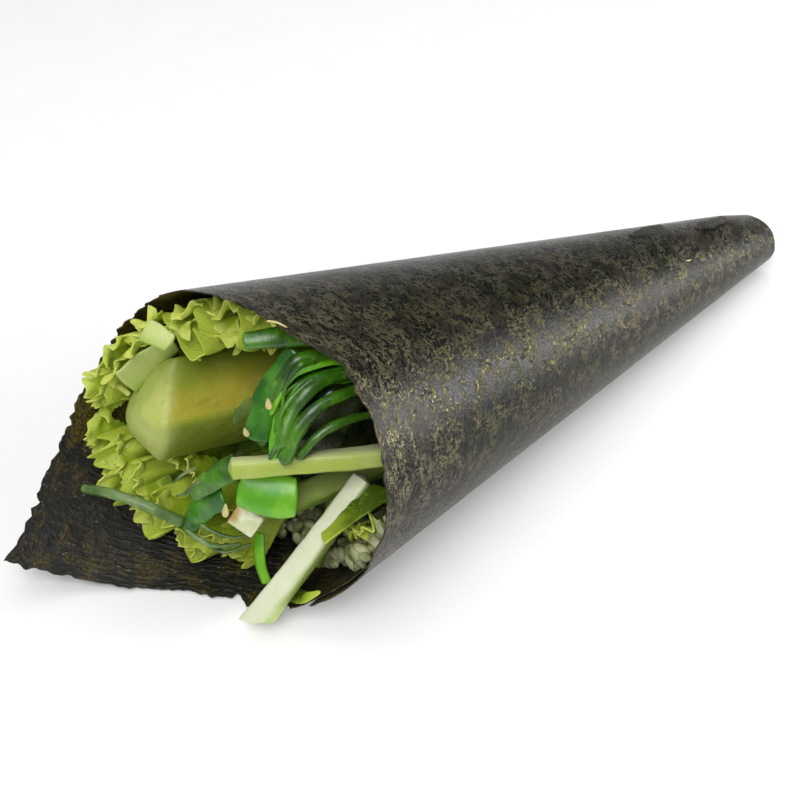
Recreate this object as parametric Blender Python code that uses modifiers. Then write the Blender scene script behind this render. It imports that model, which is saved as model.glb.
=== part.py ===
"""Temaki hand roll lying on its side: a nori sheet rolled into a cone round rice, salad leaves,
avocado, wakame salad and vegetable sticks, which show at the open mouth.

Frame: metres, +Z up, +X along the roll from the mouth to the tip, +Y to the side of the long flap.
The origin is on the ground under the middle of the roll. Lengths below are in millimetres, counted
from the point where all straight lines of the cone meet, a little beyond the roll's tip.
A turn is an angle round the cone in degrees: 0 is underneath, 90 is the +Y side, 180 is on top.
"""
import bpy
import bmesh
from math import asin, atan, cos, degrees, pi, radians, sin, tan
from mathutils import Matrix, Vector

MM = 0.001

# ------------------------------------------------------------------ driving dimensions
CONE_POINT = Vector((178.28, -2.235, 0.01))  # where the cone's lines meet, in the part's frame
HALF_ANGLE = radians(9.1)                # between the cone's axis and its wall
FLAT_HALF_TURN = 13.0                    # the roll lies on this much of its wall, each way

SHEET_WIDTH = 214.0                      # a full nori sheet, across the roll
SHEET_DEPTH = 190.0                      # and along it
INNER_SIDE = 184.0                       # from the cone's square line to the edge rolled in first
TIP_EDGE = 55.0                          # from the cone's point to the sheet's tip edge
SQUARE_TURN = 275.0                      # the turn where the sheet's edges are square to the cone
NORI_WALL = 0.5
LAYER_PITCH = 1.0                        # from one layer of nori to the next
LAYER_RAMP = 28.0                        # degrees over which the inner layer dives under the outer
PINCH_FROM = 72.0                        # nearer the cone's point than this the roll is pressed flat
PINCH = 0.06
# how far the torn mouth edge stands past the straight cut, by turn
MOUTH_WAVE = ((38, 0.0), (50, -5.0), (70, -7.0), (95, -7.0), (120, -4.0), (140, -1.0), (160, 3.0),
              (187, 3.0), (212, -2.5), (254, 0.0), (290, 3.0), (322, 8.0))
# and the same for the side edge that is rolled in first
SIDE_WAVE = ((-60, 16.0), (-40, 15.0), (-24, 10.0), (-10, 3.0), (6, 0.0))

CLEAR = 0.35                             # between pieces that touch
INSIDE = LAYER_PITCH + NORI_WALL + 0.7   # from the outer wall to the filling

SLICE_LENGTH = 66.0                      # avocado
SLICE_FACE = 15.0                        # width of its broad cut face
STICK_THICK = 4.6
LEAF_THICK = 1.0
DICE = 7.4

COLOURS = {                              # base colour, roughness
    "nori": ((0.022, 0.021, 0.014), 0.42),
    "rice": ((0.60, 0.58, 0.48), 0.35),
    "leaf": ((0.26, 0.36, 0.035), 0.45),
    "leaf_rib": ((0.42, 0.50, 0.18), 0.40),
    "avocado": ((0.36, 0.37, 0.055), 0.42),
    "wakame": ((0.03, 0.14, 0.02), 0.18),
    "cucumber": ((0.45, 0.53, 0.20), 0.30),
    "radish": ((0.66, 0.64, 0.46), 0.35),
}

# ------------------------------------------------------------------ the cone
AXIS_TILT = atan(tan(HALF_ANGLE) * cos(radians(FLAT_HALF_TURN)))
AXIS = Vector((-cos(AXIS_TILT), 0.0, sin(AXIS_TILT)))
DOWN = Vector((-sin(AXIS_TILT), 0.0, -cos(AXIS_TILT)))
SIDE = Vector((0.0, 1.0, 0.0))
OUTER_SIDE = SHEET_WIDTH - INNER_SIDE
MOUTH_EDGE = TIP_EDGE + SHEET_DEPTH


def smooth(x):
    """0 below 0, 1 above 1, an even curve between."""
    x = min(1.0, max(0.0, x))
    return x * x * (3.0 - 2.0 * x)


def between(table, x):
    """Reads a value from a short table of (place, value) pairs, on a smooth line."""
    if x <= table[0][0]:
        return table[0][1]
    for (x0, v0), (x1, v1) in zip(table, table[1:]):
        if x <= x1:
            return v0 + (v1 - v0) * smooth((x - x0) / (x1 - x0))
    return table[-1][1]


def cone(turn, reach, inset=0.0):
    """A point on the cone's wall at this turn and distance from its point, set in by inset."""
    width = reach * sin(HALF_ANGLE)
    inset = inset / cos(HALF_ANGLE)
    radius = width - inset
    facing_down = cos(radians(turn))
    if facing_down > 0.5:
        ground = width * cos(radians(FLAT_HALF_TURN)) - inset
        radius = min(radius, ground / facing_down)
    point = AXIS * (reach * cos(HALF_ANGLE))
    point = point + (DOWN * facing_down + SIDE * sin(radians(turn))) * radius
    point.z *= 1.0 - PINCH * smooth((PINCH_FROM - reach) / (PINCH_FROM - TIP_EDGE))
    return point


def place(point):
    """From millimetres about the cone's point to the part's frame in metres."""
    return (CONE_POINT + Vector(point)) * MM


# ------------------------------------------------------------------ making objects
def collection(name):
    made = bpy.data.collections.new(name)
    bpy.context.scene.collection.children.link(made)
    return made


def material(name):
    made = bpy.data.materials.get(name)
    if made is None:
        made = bpy.data.materials.new(name)
        made.use_nodes = True
        colour, roughness = COLOURS[name]
        shader = made.node_tree.nodes["Principled BSDF"]
        shader.inputs["Base Color"].default_value = (*colour, 1.0)
        shader.inputs["Roughness"].default_value = roughness
        shader.inputs["Metallic"].default_value = 0.0
        made.diffuse_color = (*colour, 1.0)
    return made


def new_object(name, points, faces, finish, home):
    mesh = bpy.data.meshes.new(name)
    mesh.from_pydata([place(p) for p in points], [], faces)
    mesh.update()
    mesh.materials.append(material(finish).copy())
    mesh.materials[0].name = name + "_finish"
    mesh.shade_smooth()
    mesh.set_sharp_from_angle(angle=radians(40))
    made = bpy.data.objects.new(name, mesh)
    home.objects.link(made)
    return made


def loft(name, rings, finish, home):
    """Skins a row of rings of points and closes both ends on a middle point."""
    count = len(rings[0])
    points = [Vector(p) for ring in rings for p in ring]
    faces = []
    for row in range(len(rings) - 1):
        for k in range(count):
            a, b = row * count + k, row * count + (k + 1) % count
            faces.append((a, b, b + count, a + count))
    for row, flip in ((0, True), (len(rings) - 1, False)):
        start = row * count
        middle = sum((points[start + k] for k in range(count)), Vector()) / count
        points.append(middle)
        hub = len(points) - 1
        for k in range(count):
            a, b = start + k, start + (k + 1) % count
            faces.append((b, a, hub) if flip else (a, b, hub))
    made = new_object(name, points, faces, finish, home)
    face_outwards(made.data)
    return made


def face_outwards(mesh):
    """Turns a closed mesh so that its faces point out."""
    work = bmesh.new()
    work.from_mesh(mesh)
    bmesh.ops.recalc_face_normals(work, faces=work.faces)
    if work.calc_volume(signed=True) < 0.0:
        bmesh.ops.reverse_faces(work, faces=work.faces)
    work.to_mesh(mesh)
    work.free()


def thicken(target, thickness):
    """Gives an open sheet its thickness, half to each side."""
    wall = target.modifiers.new("thickness", "SOLIDIFY")
    wall.thickness = thickness * MM
    wall.offset = 0.0
    return target


def sheet(name, rows, thickness, finish, home):
    """A thin sheet through a grid of points."""
    count = len(rows[0])
    points = [p for row in rows for p in row]
    faces = []
    for r in range(len(rows) - 1):
        for k in range(count - 1):
            a = r * count + k
            faces.append((a, a + 1, a + 1 + count, a + count))
    return thicken(new_object(name, points, faces, finish, home), thickness)


def slab(name, under, over, finish, home):
    """A solid between two grids of points with equal rows and columns."""
    count, last = len(under[0]), len(under) - 1
    lower = [p for row in under for p in row]
    upper = [p for row in over for p in row]
    faces = []
    for r in range(last):
        for k in range(count - 1):
            a = r * count + k
            quad = (a, a + 1, a + 1 + count, a + count)
            faces.append(quad)
            faces.append(tuple(len(lower) + c for c in quad[::-1]))
    rim = list(range(count)) + [r * count + count - 1 for r in range(1, last + 1)]
    rim += [last * count + k for k in range(count - 2, -1, -1)]
    rim += [r * count for r in range(last - 1, 0, -1)]
    for a, b in zip(rim, rim[1:] + rim[:1]):
        faces.append((b, a, len(lower) + a, len(lower) + b))
    made = new_object(name, lower + upper, faces, finish, home)
    face_outwards(made.data)
    return made


def curve_through(points, count):
    """Evenly spread points on one smooth line through the given ones."""
    points = [Vector(p) for p in points]
    ends = [points[0] * 2 - points[1]] + points + [points[-1] * 2 - points[-2]]
    out = []
    for i in range(count):
        at = i / (count - 1) * (len(points) - 1)
        k = min(int(at), len(points) - 2)
        t = at - k
        a, b, c, d = ends[k:k + 4]
        out.append(0.5 * ((2 * b) + (c - a) * t + (2 * a - 5 * b + 4 * c - d) * t * t
                          + (3 * b - a - 3 * c + d) * t ** 3))
    return out


def strip(name, path, widths, thick, up, finish, home, steps=8, corner=0.35, grow=0.0, slant=0.0):
    """A long flat piece along a smooth path, its broad side facing up, with rounded edges.
    slant cuts its last end askew."""
    line = curve_through(path, steps)
    rings = []
    for i, middle in enumerate(line):
        ahead = (line[min(i + 1, steps - 1)] - line[max(i - 1, 0)]).normalized()
        across = ahead.cross(Vector(up)).normalized()
        face = across.cross(ahead).normalized()
        spread = i / (steps - 1)
        width = widths[0] + (widths[1] - widths[0]) * spread
        half_w, half_t = width / 2 + grow, thick / 2 + grow
        cut = corner * min(half_w, half_t)
        outline = [(-half_w + cut, -half_t), (half_w - cut, -half_t), (half_w, -half_t + cut),
                   (half_w, half_t - cut), (half_w - cut, half_t), (-half_w + cut, half_t),
                   (-half_w, half_t - cut), (-half_w, -half_t + cut)]
        push = ahead * (grow if i == steps - 1 else -grow if i == 0 else 0.0)
        askew = ahead * (slant if i == steps - 1 else 0.0)
        rings.append([middle + push + (across + askew) * w + face * t for w, t in outline])
    return loft(name, rings, finish, home)


def cut_away(target, cutters):
    """Leaves room in target for each cutter."""
    for cutter in cutters:
        cutter.hide_render = True
        cutter.display_type = "WIRE"
        room = target.modifiers.new("room_for_" + cutter.name, "BOOLEAN")
        room.operation = "DIFFERENCE"
        room.solver = "EXACT"
        room.object = cutter


# ------------------------------------------------------------------ nori
def side_reach(phi):
    """Where the flat sheet's edges cross the line at angle phi: nearest and furthest reach."""
    near = TIP_EDGE / cos(phi)
    turn = SQUARE_TURN + degrees(phi) / sin(HALF_ANGLE)
    far = MOUTH_EDGE / cos(phi) + between(MOUTH_WAVE, turn)
    if phi < 0:
        far = min(far, INNER_SIDE / sin(-phi) + between(SIDE_WAVE, turn))
    if phi > 0:
        far = min(far, OUTER_SIDE / sin(phi))
    return near, max(near, far)


def outer_edge_turn(reach):
    """The turn at which the sheet's outer side edge lies, this far from the cone's point."""
    return SQUARE_TURN + degrees(asin(min(1.0, OUTER_SIDE / reach))) / sin(HALF_ANGLE)


def layer_inset(turn, reach):
    """The nori's middle below the outer wall: one layer deeper where it is rolled under."""
    under = smooth((outer_edge_turn(reach) - 360.0 + LAYER_RAMP - turn) / LAYER_RAMP)
    return NORI_WALL / 2 + LAYER_PITCH * under


def spaced(start, end, count):
    return [start + (end - start) * k / count for k in range(count)]


def make_nori(home):
    inner_corner = -atan(INNER_SIDE / TIP_EDGE)
    flap_corner = -atan(INNER_SIDE / MOUTH_EDGE)
    mouth_corner = atan(OUTER_SIDE / MOUTH_EDGE)
    outer_corner = atan(OUTER_SIDE / TIP_EDGE)
    lines = spaced(inner_corner, flap_corner, 24) + spaced(flap_corner, mouth_corner, 30)
    lines += spaced(mouth_corner, outer_corner, 13) + [outer_corner]
    steps = 12
    points, faces, columns = [], [], []
    for phi in lines:
        near, far = side_reach(phi)
        turn = SQUARE_TURN + degrees(phi) / sin(HALF_ANGLE)
        tapers_out = far - near < 1.0
        column = []
        for k in range(1 if tapers_out else steps + 1):
            reach = near + (far - near) * (k / steps) ** 1.25
            column.append(len(points))
            points.append(cone(turn, reach, layer_inset(turn, reach)))
        columns.append(column)
    for left, right in zip(columns, columns[1:]):
        for k in range(steps):
            quad = [left[min(k, len(left) - 1)], left[min(k + 1, len(left) - 1)],
                    right[min(k + 1, len(right) - 1)], right[min(k, len(right) - 1)]]
            corners = [c for i, c in enumerate(quad) if c != quad[i - 1]]
            if len(set(corners)) > 2:
                faces.append(corners)
    return thicken(new_object("nori_sheet", points, faces, "nori", home), NORI_WALL)


# ------------------------------------------------------------------ rice
RICE_TURNS = (-84.0, 74.0)
RICE_FRONT = 243.0
RICE_BACK = 92.0
RICE_THICK = 5.6                        # at the mouth, on the near side
RICE_THICK_FAR = 11.2                   # under the avocado


def rice_top(turn, reach):
    """Height of the rice over its underside."""
    start, end = RICE_TURNS
    middle = (turn - start) / (end - start) * 2.0 - 1.0
    heap = max(0.0, 1.0 - abs(middle) ** 5)
    thick = RICE_THICK + (RICE_THICK_FAR - RICE_THICK) * smooth((turn + 15.0) / 45.0)
    lumps = 0.4 * sin(turn * 0.11 + reach * 0.09)
    return 0.8 + (thick * (reach / RICE_FRONT) + lumps - 0.8) * heap


def rice_front(turn):
    """The rice ends further in on the side where the leaf climbs over it."""
    return RICE_FRONT - 13.0 * smooth((turn - 2.0) / 30.0) + 1.2 * sin(turn * 0.19)


def make_rice(home, grow=0.0):
    under, over = [], []
    stations, across = 12, 12
    start, end = RICE_TURNS
    for row in range(stations + 1):
        along = row / stations
        rounded = smooth(min(along, 1.0 - along) * 9.0 + 0.35)
        lower, upper = [], []
        for k in range(across + 1):
            turn = start + (end - start) * k / across
            reach = RICE_BACK + (rice_front(turn) - RICE_BACK) * along
            lower.append(cone(turn, reach, INSIDE - grow))
            upper.append(cone(turn, reach, INSIDE + rice_top(turn, reach) * rounded + grow))
        under.append(lower)
        over.append(upper)
    return slab("rice_bed" if grow == 0.0 else "rice_room", under, over, "rice", home)


# ------------------------------------------------------------------ salad leaves
def frilled_leaf(name, home, turns, reach_in, edge, base_inset, ruffle, waves, cells, seed):
    """A leaf lining the cone, smooth inside and frilled where it comes out at the mouth."""
    start, end = turns
    across, along = cells
    rows = []
    for r in range(along + 1):
        t = r / along
        row = []
        for k in range(across + 1):
            s = k / across
            turn = start + (end - start) * s
            lobes = 1.6 * sin(s * waves * pi * 1.7 + seed) + 1.4 * sin(s * waves * pi * 3.9 + 2 * seed)
            reach = reach_in + (between(edge, turn) + lobes - reach_in) * t ** 0.8
            frill = smooth((t - 0.35) / 0.65)
            fade = smooth(min(s, 1.0 - s) * 9.0 + 0.2)
            phase = s * waves * 2 * pi + seed
            wave = sin(phase + 2.2 * t) + 0.45 * sin(2.3 * phase - 3 * t)
            lift = between(ruffle, turn) * frill * fade * (0.55 + 0.38 * wave)
            turn += degrees(3.2 * frill * cos(phase) / (reach * sin(HALF_ANGLE)))
            row.append(cone(turn, reach, base_inset(turn, reach) + max(lift, 0.0)))
        rows.append(row)
    return sheet(name, rows, LEAF_THICK, "leaf", home)


def on_the_rice(turn, reach):
    """Inset of a leaf that lies on the nori at the flap and climbs over the rice inside."""
    over = smooth((rice_front(turn) + 9.0 - reach) / 9.0)
    flap = NORI_WALL + LEAF_THICK / 2 + 0.6
    rice = INSIDE + rice_top(turn, reach) + LEAF_THICK / 2 + CLEAR + 0.8
    return flap + (rice - flap) * over


def make_leaves(home):
    frilled_leaf("lettuce_upper", home, (80.0, 172.0), 190.0,
                 ((80, 274.0), (100, 276.0), (110, 271.0), (140, 262.0), (165, 253.0), (172, 250.0)),
                 lambda turn, reach: INSIDE + LEAF_THICK / 2 + 0.3,
                 ((95, 1.8), (117, 2.2), (138, 14.0)), 6.0, (40, 8), 0.4)
    frilled_leaf("lettuce_lower", home, (0.0, 70.0), 185.0,
                 ((0, 258.0), (12, 266.0), (30, 274.0), (63, 280.0), (70, 276.0)),
                 on_the_rice, ((0, 8.0), (30, 11.0)), 5.0, (32, 9), 1.9)


def make_leaf_pieces(home):
    strip("lettuce_strip", ((-228, -26.8, 33), (-238.5, -27.2, 33.0), (-247.5, -25.8, 28.5)),
          (10.0, 6.0), 1.6, (0.1, 0.5, 1.0), "leaf", home)
    strip("lettuce_sprig",
          (cone(-31, 252.5, 2.7), cone(-36, 254.5, 2.6), cone(-42, 255.0, 2.7), cone(-49, 253.0, 2.8)),
          (4.2, 3.6), 1.0, (-0.3, 0.0, 1.0), "leaf", home)
    strip("lettuce_rib", (cone(117, 258, 7.0), cone(110, 264.5, 7.75), cone(102, 271, 9.3)),
          (5.0, 6.8), 1.4, (-0.1, -0.9, 0.0), "leaf_rib", home, steps=6)
    strip("leaf_stem_piece", ((-254, 16.5, 68.0), (-260.5, 18.5, 69.5)),
          (5.6, 5.6), 2.6, (-0.1, -0.4, 1.0), "leaf_rib", home, steps=3)


# ------------------------------------------------------------------ avocado
SLICE_END = Vector((-263.0, 18.4, 42.3))             # the ridge's end at the mouth
SLICE_ALONG = Vector((0.966, -0.150, -0.210)).normalized()
SLICE_ACROSS = Vector((0.256, 0.647, 0.718)).normalized()


def make_avocado(home, grow=0.0):
    """A wedge: a broad cut face, a narrower one that turns under, and the round back."""
    face = SLICE_ALONG.cross(SLICE_ACROSS).normalized()
    outline = [(0.0, 0.0), (0.34, 0.0), (0.67, 0.0), (0.95, 0.0), (1.0, 0.08), (1.0, 0.32),
               (0.90, 0.66), (0.64, 0.94), (0.28, 1.06), (-0.10, 1.02), (-0.42, 0.86),
               (-0.56, 0.70), (-0.52, 0.60), (-0.28, 0.30), (-0.05, 0.03)]
    rings = []
    steps = 10
    for i in range(steps + 1):
        t = i / steps
        taper = 1.0 - 0.55 * smooth((t - 0.45) / 0.6)
        bow = 2.4 * sin(pi * t)
        centre = SLICE_END + SLICE_ALONG * (SLICE_LENGTH * t) + face * (bow - 2.0 * t) * 0.4
        ring = []
        for w, d in outline:
            lean = 0.42 * max(w, 0.0) - 0.34 * d * smooth(w + 0.6)
            slant = SLICE_ALONG * (SLICE_FACE * lean * (1.0 - t))
            out = Vector((w - 0.25, d - 0.45)).normalized() * grow
            ring.append(centre + slant + SLICE_ACROSS * (SLICE_FACE * w * taper + out.x)
                        - face * (SLICE_FACE * d * taper + out.y))
        rings.append([p + SLICE_ALONG * (grow if i == steps else -grow if i == 0 else 0.0) for p in ring])
    return loft("avocado_slice" if grow == 0.0 else "avocado_room", rings, "avocado", home)


# ------------------------------------------------------------------ vegetable sticks
STICKS = {                               # path to the cut end, widths, thickness, up, end's slant
    "cucumber_stick_1": (((-217, -28.0, 41.0), (-232, -21.0, 42.0), (-246, -12.5, 42.6),
                          (-258, -5.0, 43.0)),
                         (9.5, 5.2), STICK_THICK, (0.25, 0.55, 1.0), 0.0),
    "cucumber_stick_2": (((-220, -12.5, 25.5), (-233, -12.0, 27.0), (-247, -10.5, 28.0)),
                         (7.5, 6.0), STICK_THICK - 0.8, (-0.3, -0.2, 1.0), 0.0),
    "cucumber_stick_3": (((-229, -18.6, 31.6), (-247, -20.2, 19.6), (-264.6, -19.2, 4.6)),
                         (4.8, 7.0), STICK_THICK, (-0.75, -0.25, 1.0), 0.7),
    "cucumber_stick_4": (((-230.8, -12.5, 22.6), (-239.7, -16.6, 18.4), (-247.2, -20.2, 13.6)),
                         (4.6, 4.2), 2.6, (-0.75, -0.25, 1.0), 0.0),
}


def make_sticks(home, grow=0.0):
    made = []
    for name, (path, widths, thick, up, slant) in STICKS.items():
        title = name if grow == 0.0 else name + "_room"
        made.append(strip(title, path, widths, thick, up, "cucumber", home, 6, 0.35, grow, slant))
    return made


def make_radish(home):
    bpy.ops.mesh.primitive_cube_add(size=DICE * MM, location=place((-254.0, -4.8, 23.6)))
    dice = bpy.context.object
    dice.name = dice.data.name = "radish_dice"
    dice.scale = (0.85, 1.0, 0.9)
    dice.rotation_euler = (radians(28), radians(24), radians(38))
    bpy.context.view_layer.update()
    dice.data.transform(dice.matrix_world)
    dice.matrix_world = Matrix.Identity(4)
    dice.data.materials.append(material("radish").copy())
    edges = dice.modifiers.new("soft_edges", "BEVEL")
    edges.width = 0.8 * MM
    edges.segments = 2
    for group in list(dice.users_collection):
        group.objects.unlink(dice)
    home.objects.link(dice)
    return dice


# ------------------------------------------------------------------ wakame salad
RIBBONS = {                              # path, widths, thickness, broad side
    "wakame_band": (((-237, -6.0, 67.5), (-245, -4.5, 58.5), (-251, -6.5, 48.5)),
                    (5.5, 6.0), 1.2, (-0.7, -0.6, 0.5)),
    "wakame_top_strand": (((-233, -6.5, 69.5), (-240, -3.0, 71.5), (-247, 1.0, 71.5)),
                          (4.2, 4.0), 1.6, (-0.5, -0.5, 0.8)),
    "wakame_bright_piece": (((-247, -16.0, 34.5), (-252, -11.0, 34.5), (-256, -5.0, 35.5)),
                            (9.0, 11.0), 1.2, (-0.7, -0.6, 0.7)),
    "wakame_flat_piece": (((-252, 0.5, 36.0), (-257, 3.5, 32.5), (-262, 8.0, 25.5)),
                          (6.5, 5.0), 1.2, (-0.5, -0.7, 1.0)),
    "wakame_teal_piece": (((-256.5, 2.0, 27.5), (-260, 6.5, 22.0), (-264.5, 9.5, 13.0)),
                          (7.5, 5.5), 1.2, (-0.7, -0.3, 0.8)),
    "wakame_low_strand": (((-251, -3.0, 14.0), (-254, -7.0, 8.5), (-255, -11.0, 4.2)),
                          (3.6, 3.0), 1.0, (-0.8, 0.1, 0.6)),
    "wakame_stem": (((-265, 8.0, 18.0), (-271, 14.8, 23.0), (-276, 22.4, 24.5), (-279.3, 31.0, 21.4)),
                    (3.4, 2.6), 2.2, (-0.3, -0.3, 1.0)),
}


def make_ribbons(home):
    for name, (path, widths, thick, up) in RIBBONS.items():
        strip(name, path, widths, thick, up, "wakame", home, steps=7, corner=0.5)


def make_heap(home, rooms):
    """The bundle of fine strands, as one uneven body that fits round what lies in it."""
    bpy.ops.mesh.primitive_uv_sphere_add(segments=20, ring_count=14, radius=1.0)
    heap = bpy.context.object
    heap.name = heap.data.name = "wakame_bundle"
    centre = Vector((-229.5, -3.0, 39.5))
    lean = Vector((0.20, -0.30, 0.93)).normalized()
    along = Vector((1.0, 0.0, -0.2)).normalized()
    side = lean.cross(along).normalized()
    for vertex in heap.data.vertices:
        p = vertex.co.copy()
        lump = 1.0 + 0.06 * sin(5 * p.x + 3 * p.z) + 0.05 * sin(7 * p.y - 4 * p.z + 1)
        offset = along * (20.0 * p.x) + side * (13.0 * p.y) + lean * (26.0 * p.z)
        vertex.co = place(centre + offset * lump)
    heap.data.materials.append(material("wakame").copy())
    for group in list(heap.users_collection):
        group.objects.unlink(heap)
    home.objects.link(heap)
    cut_away(heap, rooms)
    return heap


def main():
    for old in list(bpy.data.objects):
        bpy.data.objects.remove(old, do_unlink=True)
    home = collection("temaki_hand_roll")
    rooms = collection("cutters")
    make_nori(home)
    make_rice(home)
    make_leaves(home)
    make_leaf_pieces(home)
    make_avocado(home)
    make_sticks(home)
    make_radish(home)
    make_ribbons(home)
    room_shapes = [make_rice(rooms, CLEAR), make_avocado(rooms, CLEAR)] + make_sticks(rooms, CLEAR)
    make_heap(home, room_shapes)


main()
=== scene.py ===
# %% [markdown]
# # A temaki hand roll
# A temaki is a sheet of pressed seaweed, nori, rolled into a cone by hand. This one lies on its side.
# Its mouth shows rice, salad leaves, a slice of avocado, wakame salad and cucumber sticks.
# The lesson dresses a plain solid model of it. Each piece starts as a primitive, is shaped in edit mode
# or by a formula, and gets a finish made of shader nodes. All lengths are in millimetres until the
# vertices are set, because food is easier to think about in millimetres.

# %% Load the solid model
from math import atan, cos, degrees, radians, sin, tan

import bpy
import bmesh
import numpy as np
from mathutils import Matrix, Vector, noise


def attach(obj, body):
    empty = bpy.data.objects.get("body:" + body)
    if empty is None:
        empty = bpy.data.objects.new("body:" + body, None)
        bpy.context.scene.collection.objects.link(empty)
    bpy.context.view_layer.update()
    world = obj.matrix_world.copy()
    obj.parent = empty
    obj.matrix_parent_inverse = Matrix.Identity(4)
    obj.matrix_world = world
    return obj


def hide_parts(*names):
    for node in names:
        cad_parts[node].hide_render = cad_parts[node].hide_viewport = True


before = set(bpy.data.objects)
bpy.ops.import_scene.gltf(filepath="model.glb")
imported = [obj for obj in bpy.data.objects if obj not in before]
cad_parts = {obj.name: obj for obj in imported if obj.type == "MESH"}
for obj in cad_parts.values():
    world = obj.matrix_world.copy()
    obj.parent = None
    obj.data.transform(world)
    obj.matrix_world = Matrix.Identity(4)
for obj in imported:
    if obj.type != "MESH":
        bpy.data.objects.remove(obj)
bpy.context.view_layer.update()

# %% [markdown]
# ## Light and camera
# The roll is shown on a plain pale ground in soft light, as on a catalogue page. Nori is nearly black
# and its sheen is all it shows of its shape. So one strong soft box stands low beyond the tip, where
# the near flank mirrors it towards the camera. A second box, high before the mouth, lights the
# filling, and a third overhead and a bright world soften the shadows.

# %% Camera
CONE_POINT = Vector((178.28, -2.235, 0.01))   # where the cone's straight lines meet, in mm
MM = 0.001


def add_camera():
    spot = (CONE_POINT + Vector((-359.46, -186.95, 259.40))) * MM
    bpy.ops.object.camera_add(location=spot, rotation=(radians(46.425), 0.0, radians(-40.023)))
    camera = bpy.context.object
    camera.data.lens = 58.5
    camera.data.sensor_width = 36.0
    camera.data.clip_start = 0.01
    bpy.context.scene.camera = camera
    return camera


camera = add_camera()
print("camera stands", round(camera.location.length * 1000), "mm from the middle of the roll")

# %% Lamps and world


def soft_box(name, spot, size, watts, colour=(1.0, 1.0, 1.0)):
    """A square area lamp at spot, turned towards the roll."""
    bpy.ops.object.light_add(type="AREA", location=spot)
    lamp = bpy.context.object
    lamp.name = name
    lamp.data.size = size
    lamp.data.energy = watts
    lamp.data.color = colour
    lamp.rotation_euler = (Vector((-0.03, 0.0, 0.03)) - lamp.location).to_track_quat("-Z", "Y").to_euler()
    return lamp


soft_box("flank_box", (0.78, -0.60, 0.16), 0.46, 14.5)
soft_box("mouth_box", (-0.42, -0.30, 0.72), 0.50, 5.0)
soft_box("top_box", (0.05, 0.25, 0.90), 0.80, 3.2)

world = bpy.data.worlds.new("studio")
bpy.context.scene.world = world
world.use_nodes = True
world.node_tree.nodes["Background"].inputs["Color"].default_value = (1.0, 1.0, 1.0, 1.0)
world.node_tree.nodes["Background"].inputs["Strength"].default_value = 0.27
bpy.context.scene.view_settings.view_transform = "Standard"

# %% [markdown]
# ## Shader nodes as sums
# A finish is a picture made of sums: a noise here, less of it there. Wiring Math nodes by hand hides
# the sum, so a small class wraps a node's output and lets Python's own signs add the nodes. Colours
# go through Mix nodes, because a Math node would turn them grey.

# %% A small language for finishes


class Value:
    """One output of a node. Arithmetic on it adds Math nodes."""

    def __init__(self, finish, socket):
        self.finish, self.socket = finish, socket

    def maths(self, operation, *others, clamp=False):
        settings = {"operation": operation, "use_clamp": clamp}
        inputs = {i: v for i, v in enumerate((self,) + others)}
        return self.finish.node("ShaderNodeMath", settings, inputs)

    def __add__(self, other):
        return self.maths("ADD", other)

    def __sub__(self, other):
        return self.maths("SUBTRACT", other)

    def __mul__(self, other):
        return self.maths("MULTIPLY", other)

    def __truediv__(self, other):
        return self.maths("DIVIDE", other)

    def __rsub__(self, other):
        return (self * -1.0) + other

    __radd__ = __add__
    __rmul__ = __mul__

    def clamped(self):
        return self.maths("ADD", 0.0, clamp=True)

    def step(self, low, high):
        """0 below low, 1 above high, smooth between; high may be the smaller."""
        return self.finish.node("ShaderNodeMapRange", {"interpolation_type": "SMOOTHSTEP"},
                                {"Value": self, "From Min": low, "From Max": high})

    def band(self, middle, width):
        """1 where the value is near middle, 0 where it is further off than width."""
        return (self - middle).maths("ABSOLUTE").step(width, 0.0)


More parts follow.
